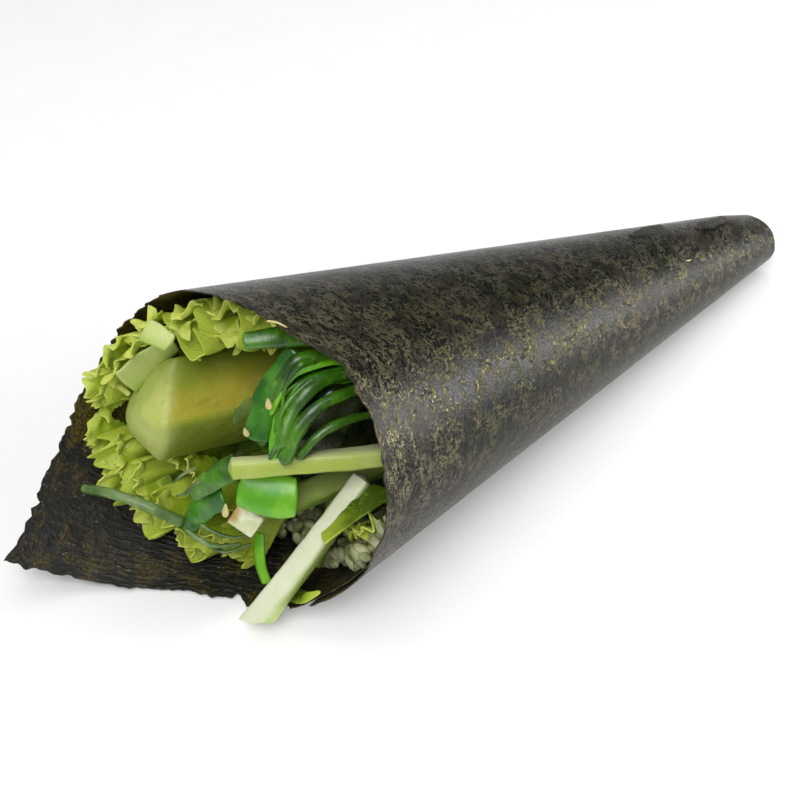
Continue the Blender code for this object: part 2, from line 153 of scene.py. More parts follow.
class Finish:
    """A material, with one way to add nodes to it."""

    def __init__(self, name, **shader):
        self.material = bpy.data.materials.new(name)
        self.material.use_nodes = True
        self.tree = self.material.node_tree
        self.shader = self.tree.nodes["Principled BSDF"]
        for key, value in shader.items():
            self.shader.inputs[key.replace("_", " ")].default_value = value

    def node(self, kind, settings=None, inputs=None, output=0):
        made = self.tree.nodes.new(kind)
        for key, value in (settings or {}).items():
            setattr(made, key, value)
        for key, value in (inputs or {}).items():
            named = [s for s in made.inputs if s.identifier == key]
            self.feed(named[0] if named else made.inputs[key], value)
        named = [s for s in made.outputs if s.identifier == output]
        return Value(self, named[0] if named else made.outputs[output])

    def feed(self, socket, value):
        if isinstance(value, Value):
            self.tree.links.new(value.socket, socket)
        else:
            socket.default_value = value

    def mix(self, a, b, share):
        return self.node("ShaderNodeMix", {"data_type": "RGBA"},
                         {"Factor_Float": share, "A_Color": a, "B_Color": b}, "Result_Color")

    def place(self, stretch=(1.0, 1.0, 1.0), turn=(0.0, 0.0, 0.0)):
        """Object coordinates in millimetres, stretched and turned."""
        at = self.node("ShaderNodeTexCoord", {}, {}, "Object")
        grown = tuple(s / MM for s in stretch)
        return self.node("ShaderNodeMapping", {}, {"Vector": at, "Scale": grown, "Rotation": turn})

    def sheet_place(self, size, stretch=(1.0, 1.0), turn=0.0):
        """The piece's own flat coordinates in millimetres, from its UV map."""
        at = self.node("ShaderNodeTexCoord", {}, {}, "UV")
        flat = self.node("ShaderNodeMapping", {}, {"Vector": at, "Scale": (size[0], size[1], 1.0)})
        if stretch == (1.0, 1.0) and turn == 0.0:
            return flat
        shrunk = (1.0 / stretch[0], 1.0 / stretch[1], 1.0)
        return self.node("ShaderNodeMapping", {"vector_type": "TEXTURE"},
                         {"Vector": flat, "Scale": shrunk, "Rotation": (0.0, 0.0, turn)})

    def parts(self, vector):
        """The x, y and z of a vector as values."""
        return [self.node("ShaderNodeSeparateXYZ", {}, {"Vector": vector}, axis) for axis in "XYZ"]

    def noise(self, at, per_mm, detail=2.0, rough=0.5, bend=0.0):
        return self.node("ShaderNodeTexNoise", {}, {"Vector": at, "Scale": per_mm, "Detail": detail,
                                                    "Roughness": rough, "Distortion": bend})

    def cells(self, at, per_mm, output="Distance", randomness=1.0):
        return self.node("ShaderNodeTexVoronoi", {}, {"Vector": at, "Scale": per_mm,
                                                      "Randomness": randomness}, output)

    def done(self, colour, roughness=None, height=None, depth=0.1, strength=1.0):
        """Wires the finish to its shader; height is relief in units of depth mm."""
        self.feed(self.shader.inputs["Base Color"], colour)
        if roughness is not None:
            self.feed(self.shader.inputs["Roughness"], roughness)
        if height is not None:
            bump = self.node("ShaderNodeBump", {}, {"Height": height, "Distance": depth * MM,
                                                    "Strength": strength})
            self.feed(self.shader.inputs["Normal"], bump)
        return self.material


def tint(red, green, blue):
    """A colour as seen on a screen, 0 to 255, made linear for the shader."""
    parts = [c / 255.0 for c in (red, green, blue)]
    return tuple(p / 12.92 if p < 0.04045 else ((p + 0.055) / 1.055) ** 2.4 for p in parts) + (1.0,)


print("a mid grey of 128 is", round(tint(128, 128, 128)[0], 3), "in the shader")

# %% The ground


def lay_floor():
    bpy.ops.mesh.primitive_plane_add(size=6.0, location=(0.0, 0.0, -0.0005))
    floor = bpy.context.object
    floor.name = "pale_floor"
    paint = Finish("pale_floor_paint", Roughness=0.9, Specular_IOR_Level=0.1)
    grain = paint.noise(paint.place(), 0.05, 3.0)
    floor.data.materials.append(paint.done(paint.mix(tint(243, 243, 243), tint(248, 248, 248), grain)))
    return floor


floor = lay_floor()
print("the floor lies", round(floor.location.z * 1000, 2), "mm below the roll")

# %% [markdown]
# ## The nori sheet
# A real sheet is about 19 by 21 cm, torn rather than cut at its rim, charcoal outside with fine khaki
# fibres, and ridged like reeds on the side that lay on the drying mat. It could be made as a cone with
# a cut edge, but a cone has no seam and no free corner. So a flat grid is laid out at the sheet's own
# size, its edges are frayed while it is flat, and then every point is rolled: its angle in the flat
# pattern becomes a turn round the cone. The flat pattern stays in the UV map, so the fibres of the
# finish follow the sheet as they do on the real one.

# %% The cone that everything lies in
HALF_ANGLE = radians(9.1)
FLAT_HALF_TURN = 13.0
SHEET = (214.0, 190.0)
INNER_SIDE = 184.0
TIP_EDGE = 55.0
SQUARE_TURN = 275.0
NORI_WALL = 0.5
LAYER_PITCH = 1.0
LAYER_RAMP = 28.0
PINCH_FROM = 72.0
PINCH = 0.06
MOUTH_WAVE = ((38, 0.0), (50, -5.0), (70, -7.0), (95, -7.0), (120, -4.0), (140, -1.0), (160, 3.0),
              (187, 3.0), (212, -2.5), (254, 0.0), (290, 3.0), (322, 8.0))
SIDE_WAVE = ((-60, 16.0), (-40, 15.0), (-24, 10.0), (-10, 3.0), (6, 0.0))
INSIDE = LAYER_PITCH + NORI_WALL + 0.7

AXIS_TILT = atan(tan(HALF_ANGLE) * cos(radians(FLAT_HALF_TURN)))
AXIS = np.array((-cos(AXIS_TILT), 0.0, sin(AXIS_TILT)))
DOWN = np.array((-sin(AXIS_TILT), 0.0, -cos(AXIS_TILT)))
SIDE = np.array((0.0, 1.0, 0.0))
MOUTH_EDGE = TIP_EDGE + SHEET[1]
OUTER_SIDE = SHEET[0] - INNER_SIDE


def smooth(x):
    x = np.clip(x, 0.0, 1.0)
    return x * x * (3.0 - 2.0 * x)


def between(table, x):
    """Reads a short table of (place, value) pairs on a smooth line."""
    places = [p for p, _ in table]
    values = [v for _, v in table]
    x = np.asarray(x, float)
    k = np.clip(np.searchsorted(places, x) - 1, 0, len(table) - 2)
    places, values = np.array(places, float), np.array(values)
    part = smooth((x - places[k]) / (places[k + 1] - places[k]))
    return values[k] + (values[k + 1] - values[k]) * part


def cone(turn, reach, inset=0.0):
    """Points on the cone's wall, set in by inset: turn 0 is underneath, 90 the far side, 180 on top."""
    turn, reach, inset = np.broadcast_arrays(np.asarray(turn, float), reach, inset)
    width = reach * sin(HALF_ANGLE)
    inset = inset / cos(HALF_ANGLE)
    facing_down = np.cos(np.radians(turn))
    ground = (width * cos(radians(FLAT_HALF_TURN)) - inset) / np.maximum(facing_down, 0.5)
    radius = np.where(facing_down > 0.5, np.minimum(width - inset, ground), width - inset)
    point = (reach * cos(HALF_ANGLE))[..., None] * AXIS + radius[..., None] * (
        facing_down[..., None] * DOWN + np.sin(np.radians(turn))[..., None] * SIDE)
    point[..., 2] *= 1.0 - PINCH * smooth((PINCH_FROM - reach) / (PINCH_FROM - TIP_EDGE))
    return point


def layer_inset(turn, reach):
    """The sheet's middle below the outer wall: one layer deeper where it is rolled under."""
    outer = SQUARE_TURN + np.degrees(np.arcsin(np.minimum(1.0, OUTER_SIDE / reach))) / sin(HALF_ANGLE)
    return NORI_WALL / 2 + LAYER_PITCH * smooth((outer - 360.0 + LAYER_RAMP - turn) / LAYER_RAMP)


print("the cone's half angle is", round(degrees(HALF_ANGLE), 1), "degrees")

# %% Helpers for shaping


def alone(piece):
    """Makes piece the only selected and active object."""
    bpy.ops.object.select_all(action="DESELECT")
    piece.select_set(True)
    bpy.context.view_layer.objects.active = piece
    return piece


def points_of(piece):
    out = np.empty(len(piece.data.vertices) * 3)
    piece.data.vertices.foreach_get("co", out)
    return out.reshape(-1, 3)


def set_points(piece, points_mm):
    """Sets a piece's vertices from points in mm about the cone's point."""
    world = (np.asarray(points_mm) + np.array(CONE_POINT)) * MM
    piece.data.vertices.foreach_set("co", world.ravel())
    piece.data.update()


def flat_grid(name, across, along):
    """A square grid with a UV map; returns it with each point's two shares, 0 to 1."""
    bpy.ops.object.select_all(action="DESELECT")
    bpy.ops.mesh.primitive_grid_add(x_subdivisions=across, y_subdivisions=along, size=2.0,
                                    calc_uvs=True, location=(0, 0, 0))
    piece = bpy.context.object
    piece.name = piece.data.name = name
    at = points_of(piece)
    return piece, (at[:, 0] + 1.0) / 2.0, (at[:, 1] + 1.0) / 2.0


def modify(piece, kind, **settings):
    """Adds a modifier and applies it."""
    alone(piece)
    made = piece.modifiers.new(kind.lower(), kind)
    for key, value in settings.items():
        setattr(made, key, value)
    bpy.ops.object.modifier_apply(modifier=made.name)
    return piece


def wave_noise(x, y, seed, size):
    """Smooth noise, -1 to 1, over arrays of places, with lumps of this size."""
    flat = [noise.noise(Vector((a / size, b / size, seed))) for a, b in zip(np.ravel(x), np.ravel(y))]
    return np.array(flat).reshape(np.shape(x))


def recalculate(piece):
    alone(piece)
    bpy.ops.object.mode_set(mode="EDIT")
    bpy.ops.mesh.select_all(action="SELECT")
    bpy.ops.mesh.normals_make_consistent(inside=False)
    bpy.ops.object.mode_set(mode="OBJECT")
    return piece


def shade(piece, angle=60.0):
    alone(piece)
    bpy.ops.object.shade_smooth_by_angle(angle=radians(angle))
    return piece


def finish_piece(piece, slot, *nodes):
    """Hangs the piece on the root body and hides the solids it stands for. The slot argument is not used."""
    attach(piece, "root")
    if nodes:
        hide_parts(*nodes)
    print(piece.name, "has", len(piece.data.polygons), "faces")
    return piece


# %% Fray and roll the sheet


def fray(distance, along, seed, bite):
    """How far a torn edge is pulled in, for points this far from it, at this place along it."""
    level = distance * 0
    rips = 0.6 * wave_noise(along, level, seed, 7.0) + 0.7 * wave_noise(along, level, seed + 7, 2.3)
    chips = np.maximum(0.0, wave_noise(along, level, seed + 3, 4.1) - 0.2) * 2.6
    return bite * (rips + 0.3 + chips) * np.exp(-distance / 3.0)


def roll(x, y):
    """Turn and reach on the cone of points of the flat sheet."""
    phi = np.arctan2(x, y)
    turn = SQUARE_TURN + np.degrees(phi) / sin(HALF_ANGLE)
    reach = np.hypot(x, y)
    past_mouth = between(MOUTH_WAVE, turn) * smooth((y - TIP_EDGE) / SHEET[1]) ** 2
    past_side = between(SIDE_WAVE, turn) * smooth((x + INNER_SIDE) / -40.0 + 1.0)
    return turn, reach + past_mouth + past_side


def make_nori():
    piece, u, v = flat_grid("nori_sheet_rolled", 232, 196)
    x = u * SHEET[0] - INNER_SIDE
    v = 1.0 - (1.0 - v) ** 1.25
    y = v * SHEET[1] + TIP_EDGE
    from_mouth, from_tip = MOUTH_EDGE - y, y - TIP_EDGE
    from_inner, from_outer = x + INNER_SIDE, OUTER_SIDE - x
    x = x + fray(from_inner, y, 2.0, 1.3) - fray(from_outer, y, 5.0, 0.4)
    y = y - fray(from_mouth, x, 9.0, 1.6) + fray(from_tip, x, 12.0, 1.0)
    turn, reach = roll(x, y)
    inset = layer_inset(turn, reach)
    free = smooth((150.0 - turn) / 90.0) * smooth((reach - 225.0) / 60.0)
    relief = 0.10 * wave_noise(x, y, 21.0, 9.0) + 0.05 * wave_noise(x, y, 25.0, 3.0)
    mat_ridges = 0.05 * np.sin(2 * np.pi * (x + 1.6 * wave_noise(x, y, 31.0, 9.0)) / 2.1)
    curl = 0.9 * wave_noise(x, y, 41.0, 26.0) * free
    set_points(piece, cone(turn, reach, inset + 0.3 * relief + free * (relief + mat_ridges + curl)))
    recalculate(piece)
    return piece


nori = make_nori()
print("nori points:", len(nori.data.vertices), "box mm", np.round(points_of(nori).min(0) * 1000, 1),
      np.round(points_of(nori).max(0) * 1000, 1))

# %% [markdown]
# The sheet's two sides look different, so it needs two finishes. The thickness modifier copies the
# sheet to its other side and can give the copy the next finish in the list, and the torn rim a third.

# %% Nori finishes


def strokes(paint, size, turn, per_mm, low, high, bend=0.8):
    """Short strokes in one direction: noise drawn out along it, cut off at a level."""
    drawn = paint.sheet_place(size, (0.55, 1.35), turn)
    return paint.noise(drawn, per_mm, 1.5, 0.5, bend).step(low, high)


def nori_outside():
    paint = Finish("nori_outside", Specular_IOR_Level=0.13, Specular_Tint=(0.97, 0.95, 1.0, 1.0))
    at = paint.sheet_place(SHEET)
    cloud = paint.noise(at, 0.05, 4.0, 0.6)
    patch = paint.noise(at, 0.16, 3.0, 0.6)
    fine = paint.noise(at, 1.1, 5.0, 0.65)
    fibres = strokes(paint, SHEET, 0.3, 0.50, 0.55, 0.60, 1.6)
    for turn, per_mm in ((1.0, 0.58), (1.7, 0.50), (2.5, 0.66)):
        fibres = fibres.maths("MAXIMUM", strokes(paint, SHEET, turn, per_mm, 0.565, 0.61, 1.6))
    cuts = strokes(paint, SHEET, 2.0, 0.55, 0.60, 0.68) * patch.step(0.45, 0.6)
    # Towards the mouth edge the fibres are painted paler and made more metallic: a painted highlight that strengthens
    # the sheen near the mouth.
    mouth = paint.parts(at)[1].step(135.0, 185.0)
    share = fibres * (0.22 + 0.78 * patch.step(0.42, 0.58)) * (0.5 + 0.5 * fine.step(0.35, 0.6))
    ground = paint.mix(tint(5, 5, 3), tint(12, 12, 11), cloud.step(0.35, 0.65))
    khaki = paint.mix(tint(84, 78, 52), tint(73, 72, 42), cloud.step(0.6, 0.4))
    khaki = paint.mix(khaki, tint(126, 121, 92), mouth * 0.65)
    colour = paint.mix(ground, khaki, share)
    colour = paint.mix(colour, tint(48, 34, 20), paint.noise(at, 0.3, 2.0).step(0.66, 0.74) * 0.5)
    colour = paint.mix(colour, tint(5, 5, 4), cuts * 0.8)
    rough = 0.21 + 0.12 * fine + 0.1 * cuts + 0.30 * (cloud - 0.5)
    paint.feed(paint.shader.inputs["Metallic"], (share * (0.85 + 0.15 * mouth)).clamped())
    height = share * 1.0 + fine * 0.8 - cuts * 0.9 + patch * 0.8
    return paint.done(colour, rough, height, 0.12, 1.0)


def nori_inside():
    paint = Finish("nori_inside", Specular_IOR_Level=0.4)
    at = paint.sheet_place(SHEET)
    wobble = paint.noise(at, 0.09, 3.0, 0.6) * 5.0
    across, along = paint.parts(at)[:2]
    ridge = ((across + wobble) * (2 * np.pi / 1.5)).maths("SINE") * 0.5 + 0.5
    broken = paint.noise(paint.sheet_place(SHEET, (1.6, 0.30)), 0.6, 4.0, 0.6)
    grain = paint.noise(at, 1.0, 4.0, 0.6)
    blotch = paint.noise(at, 0.10, 5.0, 0.66)
    glint = paint.cells(paint.sheet_place(SHEET, (1.2, 0.5)), 0.7).step(0.22, 0.06) * broken.step(0.5, 0.6)
    ground = paint.mix(tint(7, 6, 4), tint(26, 24, 16), broken.step(0.4, 0.7))
    ground = paint.mix(ground, tint(50, 46, 34), ridge.step(0.6, 1.0) * broken.step(0.46, 0.62) * 0.6)
    # The olive blotches are partly the sheet's own tone. Away from the inner side edge, where the flap stands high,
    # they are made stronger as painted light shining through the thin sheet.
    upper = across.step(22.0, 40.0)
    olive = paint.mix(tint(48, 46, 8), tint(112, 92, 10), grain.step(0.42, 0.66))
    share = (blotch + upper * 0.12 + grain * 0.2 - 0.09).step(0.50, 0.62)
    colour = paint.mix(ground, olive, share * (0.45 + 0.5 * upper))
    colour = paint.mix(colour, tint(170, 168, 160), glint * (1.0 - share) * 0.7)
    rough = 0.40 + 0.25 * grain - 0.2 * glint
    height = ridge * broken.step(0.35, 0.6) * 0.7 + broken * 1.4 + grain * 0.8 + glint * 0.4
    return paint.done(colour, rough, height, 0.20, 1.0)


def nori_rim():
    paint = Finish("nori_torn_rim", Specular_IOR_Level=0.4, Roughness=0.6)
    speck = paint.noise(paint.place(), 0.6, 3.0)
    return paint.done(paint.mix(tint(24, 22, 8), tint(92, 82, 30), speck.step(0.45, 0.7)))


def dress_nori(piece):
    for material in (nori_outside(), nori_inside(), nori_rim()):
        piece.data.materials.append(material)
    modify(piece, "SOLIDIFY", thickness=0.0003, offset=0.0, material_offset=1, material_offset_rim=2)
    shade(piece, 70.0)
    return finish_piece(piece, "nori", "nori_sheet")


dress_nori(nori)

# %% [markdown]
# ## Salad leaves
# The leaves are of a frilled lettuce: smooth and green inside the roll, and at the mouth a wide pale
# frill that folds over itself and ends in small teeth. A frill comes about because the leaf's edge
# grows longer than the place it has. So each leaf is a flat grid again, laid along the cone's wall, and
# waves of three sizes are added, each stronger towards the edge. Teeth are cut by letting the edge
# reach further at some places than at others.

# %% Frilled leaves
LEAF_THICK = 1.0
CLEAR = 0.35
RICE_TURNS = (-84.0, 74.0)
RICE_FRONT, RICE_BACK = 243.0, 92.0
RICE_THICK, RICE_THICK_FAR = 5.6, 11.2


def rice_top(turn, reach):
    """Height of the rice over its underside."""
    start, end = RICE_TURNS
    middle = (turn - start) / (end - start) * 2.0 - 1.0
    heap = np.maximum(0.0, 1.0 - np.abs(middle) ** 5)
    thick = RICE_THICK + (RICE_THICK_FAR - RICE_THICK) * smooth((turn + 15.0) / 45.0)
    lumps = 0.4 * np.sin(turn * 0.11 + reach * 0.09)
    return 0.8 + (thick * (reach / RICE_FRONT) + lumps - 0.8) * heap


def rice_front(turn):
    return RICE_FRONT - 13.0 * smooth((turn - 2.0) / 30.0) + 1.2 * np.sin(turn * 0.19)


def on_the_rice(turn, reach):
    """Inset of the leaf that lies on the nori at the flap and climbs over the rice inside."""
    over = smooth((rice_front(turn) + 9.0 - reach) / 9.0)
    flap = NORI_WALL + LEAF_THICK / 2 + 0.6
    rice = INSIDE + rice_top(turn, reach) + LEAF_THICK / 2 + CLEAR + 0.8
    return flap + (rice - flap) * over


def teeth(arc, pitch, seed):
    """Uneven pointed teeth along an edge, 0 to 1."""
    drift = 1.3 * wave_noise(arc, arc * 0, seed, 7.0) + 0.5 * wave_noise(arc, arc * 0, seed + 1, 2.5)
    saw = np.abs(((arc / pitch + drift) % 1.0) - 0.5) * 2.0
    return saw ** 1.6 * (0.55 + 0.75 * wave_noise(arc, arc * 0, seed + 2, 5.0))


def frilled_leaf(name, turns, reach_in, edge, base_inset, ruffle, waves, cells, seed):
    piece, s, t = flat_grid(name, *cells)
    t = t ** 0.8
    start, end = turns
    turn = start + (end - start) * s
    arc = np.radians(turn - start) * 42.0
    lobes = 1.6 * np.sin(s * waves * np.pi * 1.7 + seed) + 1.4 * np.sin(s * waves * np.pi * 3.9 + 2 * seed)
    cut = 3.6 * teeth(arc, 4.2, seed) + 1.1 * teeth(arc, 1.7, seed + 5) - 1.2
    tall = between(edge, turn) + lobes - reach_in
    reach = reach_in + tall * t + cut * smooth((t - 0.72) / 0.28)
    frill = smooth((t - 0.35) / 0.65)
    fade = smooth(np.minimum(s, 1.0 - s) * 9.0 + 0.2)
    phase = s * waves * 2 * np.pi + seed
    wave = np.sin(phase + 2.2 * t) + 0.45 * np.sin(2.3 * phase - 3 * t)
    lift = between(ruffle, turn) * frill * fade * (0.55 + 0.38 * wave)
    second = smooth((t - 0.45) / 0.5)
    lift += second * 1.6 * np.sin(arc * 2 * np.pi / 7.1 + 5.0 * wave_noise(arc, t * 30, seed, 9.0))
    third = smooth((t - 0.75) / 0.25)
    lift += third * 1.1 * np.sin(arc * 2 * np.pi / 3.3 + 5.0 * wave_noise(arc, t * 30, seed + 9, 7.0))
    lift += second * 1.3 * wave_noise(arc, t * 40, seed + 4, 4.5)
    sway = 3.2 * frill * np.cos(phase) + second * 1.3 * np.cos(arc * 2 * np.pi / 6.1 + 4.0 * t)
    turn = turn + np.degrees(sway / (reach * sin(HALF_ANGLE)))
    set_points(piece, cone(turn, reach, base_inset(turn, reach) + np.maximum(lift, 0.12 * lift)))
    recalculate(piece)
    return piece


def leaf_finish(name, pale, mid, shade_and_fleck_green, height_mm, turning=0.4):
    """Dark green at the base as painted shade deep in the roll, mid green from about turning upwards, pale at the
    frill; the dark green also makes small flecks.
    """
    paint = Finish(name, Specular_IOR_Level=0.4, Subsurface_Weight=0.3, Subsurface_Scale=0.002)
    paint.shader.inputs["Subsurface Radius"].default_value = (0.8, 1.0, 0.15)
    flat = paint.sheet_place((60.0, height_mm))
    up = paint.parts(flat)[1] / height_mm
    blotch = paint.noise(paint.place(), 0.14, 3.0)
    fine = paint.noise(paint.place(), 0.6, 3.0, 0.6)
    veins = paint.noise(paint.place(), 0.22, 2.0, 0.5, 1.0).band(0.5, 0.03)
    # The dark green towards the leaf's base is painted shade deep inside the roll.
    colour = paint.mix(shade_and_fleck_green, mid, (up + blotch * 0.5 - 0.25).step(turning - 0.25, turning + 0.15))
    colour = paint.mix(colour, pale, (up + blotch * 0.6 - 0.3).step(0.55, 1.0))
    colour = paint.mix(colour, pale, veins * 0.35)
    colour = paint.mix(colour, shade_and_fleck_green, fine.step(0.55, 0.8) * 0.3)
    return paint.done(colour, 0.36 + 0.25 * fine, veins * 0.4 + blotch + fine * 0.35, 0.35, 0.6)


def make_leaf(name, node, material, *shape):
    piece = frilled_leaf(name, *shape)
    piece.data.materials.append(material)
    modify(piece, "SOLIDIFY", thickness=0.00045, offset=0.0)
    shade(piece, 80.0)
    return finish_piece(piece, "leaf", node)


leaf_green = leaf_finish("lettuce_green", tint(178, 194, 70), tint(132, 156, 26), tint(72, 100, 8), 80.0, 0.72)
make_leaf("lettuce_frill_upper", "lettuce_upper", leaf_green, (80.0, 172.0), 190.0,
          ((80, 271.0), (100, 273.0), (110, 268.0), (140, 259.0), (165, 250.0), (172, 247.0)),
          lambda turn, reach: INSIDE + LEAF_THICK / 2 + 0.3,
          ((95, 1.8), (117, 2.2), (138, 12.0)), 6.0, (250, 90), 0.4)
make_leaf("lettuce_frill_lower", "lettuce_lower", leaf_green, (0.0, 70.0), 185.0,
          ((0, 255.0), (12, 262.0), (30, 270.0), (63, 276.0), (70, 272.0)),
          on_the_rice, ((0, 6.0), (30, 8.0)), 5.0, (220, 100), 1.9)

# %% [markdown]
# One sheet alone looks like cloth, because a real frilled leaf branches: its edge ends in many small
# lobes, each with teeth and waves of its own, and some fold back over the others. So one function makes
# a lobe as a fan-shaped grid, and rows of them are set along both leaves at the mouth.

# %% Lobes of the frill
LOBES = (                    # turn, reach of the root, inset, length, half width, curl inwards
    (69, 267, 3.2, 11, 6.5, 0.2), (61, 262, 5.5, 13, 7.0, 0.6), (53, 265, 3.6, 12, 6.5, 0.1), (46, 261, 7.0, 12, 7.0, 0.7),
    (38, 262, 4.2, 11, 6.5, 0.2), (31, 258, 7.5, 12, 6.5, 0.6), (23, 256, 4.6, 11, 6.5, 0.2), (15, 251, 7.0, 11, 6.0, 0.5),
    (7, 250, 4.6, 9, 5.0, 0.1), (57, 252, 10.0, 11, 6.5, 0.9), (42, 250, 11.5, 11, 6.5, 0.9), (27, 247, 11.0, 10, 6.0, 0.8),
    (85, 265, 3.2, 10, 6.0, 0.3), (93, 268, 3.8, 9, 5.5, 0.1), (100, 262, 4.6, 11, 6.5, 0.6), (108, 264, 3.6, 9, 5.5, 0.1),
    (116, 259, 4.6, 10, 6.0, 0.5), (124, 258, 3.8, 9, 5.5, 0.1), (131, 252, 6.0, 11, 6.0, 0.6), (139, 252, 4.2, 9, 5.5, 0.2),
    (147, 246, 7.5, 10, 6.0, 0.7), (154, 247, 4.6, 9, 5.5, 0.2), (162, 242, 8.0, 10, 5.5, 0.6), (169, 243, 5.0, 8, 5.0, 0.2),
    (-74, 237, 6.5, 7, 4.0, 0.3), (-62, 236, 9.0, 7, 3.5, 0.2), (-48, 233, 9.0, 7, 4.0, 0.4),
    (127, 247, 8.5, 9, 5.5, 0.8), (143, 240, 11.0, 9, 6.0, 0.8), (158, 237, 11.5, 9, 5.5, 0.7),
)


def leaf_lobe(turn, reach, inset, length, width, curl, seed):
    across, along = 34, 20
    piece, u, v = flat_grid("lettuce_lobe", across, along)
    s, t = u * 2.0 - 1.0, v
    root = cone(turn, reach, inset)
    ahead = cone(turn, reach + 1.0, inset) - root
    inward = cone(turn, reach, inset + 1.0) - root
    side = np.cross(ahead, inward)
    fan = 0.30 + 0.70 * t ** 0.7
    rim = smooth((t - 0.55) / 0.45)
    place = s * width * fan
    tall = length * (t * (1.0 - 0.30 * s ** 2) + rim * (0.26 * teeth(s * width * 1.3, 3.1, seed) - 0.10
                                                         + 0.12 * np.sin(4.0 * s + seed)))
    edge = smooth((np.abs(s) - 0.6) / 0.4)
    place = place + np.sign(s) * edge * (1.5 * teeth(t * length, 2.6, seed + 3) - 0.5)
    wave = (0.9 * np.sin(s * 4.4 + seed) + 0.8 * rim * np.sin(s * 9.5 + 2.0 * seed + 2.5 * t)
            + 0.9 * wave_noise(place, tall, seed, 3.2)) * t ** 1.3 * 1.5
    lift = wave + curl * length * 0.55 * t ** 2 + 1.1 * edge * t * np.sin(t * 9.0 + seed + s)
    set_points(piece, root + ahead * tall[:, None] + side * place[:, None] + inward * lift[:, None])
    recalculate(piece)
    return piece


lobes = [leaf_lobe(*row, seed=3.7 * i) for i, row in enumerate(LOBES)]
bpy.ops.object.select_all(action="DESELECT")
for lobe in lobes:
    lobe.select_set(True)
bpy.context.view_layer.objects.active = lobes[0]
bpy.ops.object.join()
lobes[0].name = lobes[0].data.name = "lettuce_lobes"
lobes[0].data.materials.append(leaf_finish("lettuce_lobe_green", tint(198, 210, 96), tint(152, 174, 38),
                                           tint(104, 132, 14), 12.0, 0.3))
modify(lobes[0], "SOLIDIFY", thickness=0.0004, offset=0.0)
shade(lobes[0], 80.0)
finish_piece(lobes[0], "leaf")

# %% [markdown]
# ## Long pieces
# Sticks, strips, ribbons and strands are all one kind of shape: an outline carried along a curved
# line. Each starts as a flat grid, whose width is wrapped round the line and whose two sides are then
# merged into a seam. A round pipe from a curve would be quicker, but here the width, the flatness and
# the cut ends change along the piece, and the grid's UV map gives the finish its grain direction.

# %% Carrying an outline along a line


def curve_through(points, count):
    """Evenly spread points on one smooth line through the given ones."""
    points = [Vector(p) for p in points]
    ends = [points[0] * 2 - points[1]] + points + [points[-1] * 2 - points[-2]]
    out = []
    for i in range(count):
        at = i / (count - 1) * (len(points) - 1)
        k = min(int(at), len(points) - 2)
        t = at - k
        a, b, c, d = ends[k:k + 4]
        out.append(0.5 * ((2 * b) + (c - a) * t + (2 * a - 5 * b + 4 * c - d) * t * t
                          + (3 * b - a - 3 * c + d) * t ** 3))
    return np.array([tuple(p) for p in out])


def directions(line, up, twist=0.0):
    """At each point of a line: where it goes, and the two directions across it."""
    ahead = np.gradient(line, axis=0)
    ahead /= np.linalg.norm(ahead, axis=1)[:, None]
    across = np.cross(ahead, np.asarray(up, float))
    across /= np.linalg.norm(across, axis=1)[:, None]
    face = np.cross(across, ahead)
    angle = np.linspace(0.0, np.radians(twist), len(line))[:, None]
    turned = across * np.cos(angle) + face * np.sin(angle)
    return ahead, turned, np.cross(turned, ahead)


def rounded(share, length, end_round):
    """Narrows an outline at both ends of a piece, over this many mm."""
    near = np.minimum(share, 1.0 - share) * length / end_round
    near = np.clip(near, 0.0, 1.0)
    return np.sqrt(np.maximum(1.0 - (1.0 - near) ** 2, 0.04))


def close_tube(piece):
    """Merges the seam, fills both ends and turns the faces outwards."""
    alone(piece)
    bpy.ops.object.mode_set(mode="EDIT")
    bpy.ops.mesh.select_all(action="SELECT")
    bpy.ops.mesh.remove_doubles(threshold=0.000002)
    bpy.ops.mesh.select_all(action="DESELECT")
    bpy.ops.mesh.select_non_manifold(extend=False)
    bpy.ops.mesh.fill_holes(sides=0)
    bpy.ops.mesh.select_all(action="SELECT")
    bpy.ops.mesh.normals_make_consistent(inside=False)
    bpy.ops.object.mode_set(mode="OBJECT")
    return piece


def sweep(name, path, widths, thicks, up, around=20, along=30, square=3.0, end_round=0.8,
          slant=0.0, twist=0.0, bow=0.0, bumps=0.0, seed=0.0):
    """A closed piece along a line. square is 2 for an ellipse and more for a boxy outline."""
    piece, u, v = flat_grid(name, around, along)
    line = curve_through(path, along + 1)
    length = np.linalg.norm(np.diff(line, axis=0), axis=1).sum()
    ahead, across, face = directions(line, up, twist)
    row = np.rint(v * along).astype(int)
    share = row / along
    angle = u * 2 * np.pi
    power = 2.0 / square
    w = np.sign(np.cos(angle)) * np.abs(np.cos(angle)) ** power
    t = np.sign(np.sin(angle)) * np.abs(np.sin(angle)) ** power
    shrink = rounded(share, length, end_round)
    uneven = 1.0 + bumps * wave_noise(share * length, np.sin(angle) * 2 + seed, seed, 4.0)
    half_w = np.interp(share, np.linspace(0, 1, len(widths)), widths) / 2 * shrink * uneven
    half_t = np.interp(share, np.linspace(0, 1, len(thicks)), thicks) / 2 * shrink * uneven
    side, height = (half_w * w)[:, None], (half_t * t)[:, None]
    askew = ahead[row] * (slant * smooth((share - 0.75) / 0.25))[:, None]
    cupped = face[row] * (bow * (half_w * w) ** 2 / np.maximum(half_w.max(), 0.1))[:, None]
    set_points(piece, line[row] + (across[row] + askew) * side + face[row] * height + cupped)
    return close_tube(piece)


print("a sweep turns a grid into a tube and closes its ends")

# %% [markdown]
# ## Cucumber sticks
# The sticks are cut from a cucumber's flesh: nearly white in the middle, greener where they were next
# to the skin, moist, with fine strings along their length. The rough ends of the cut stay square. The
# grain runs along the UV map's second direction, so the finish stretches its noise that way.

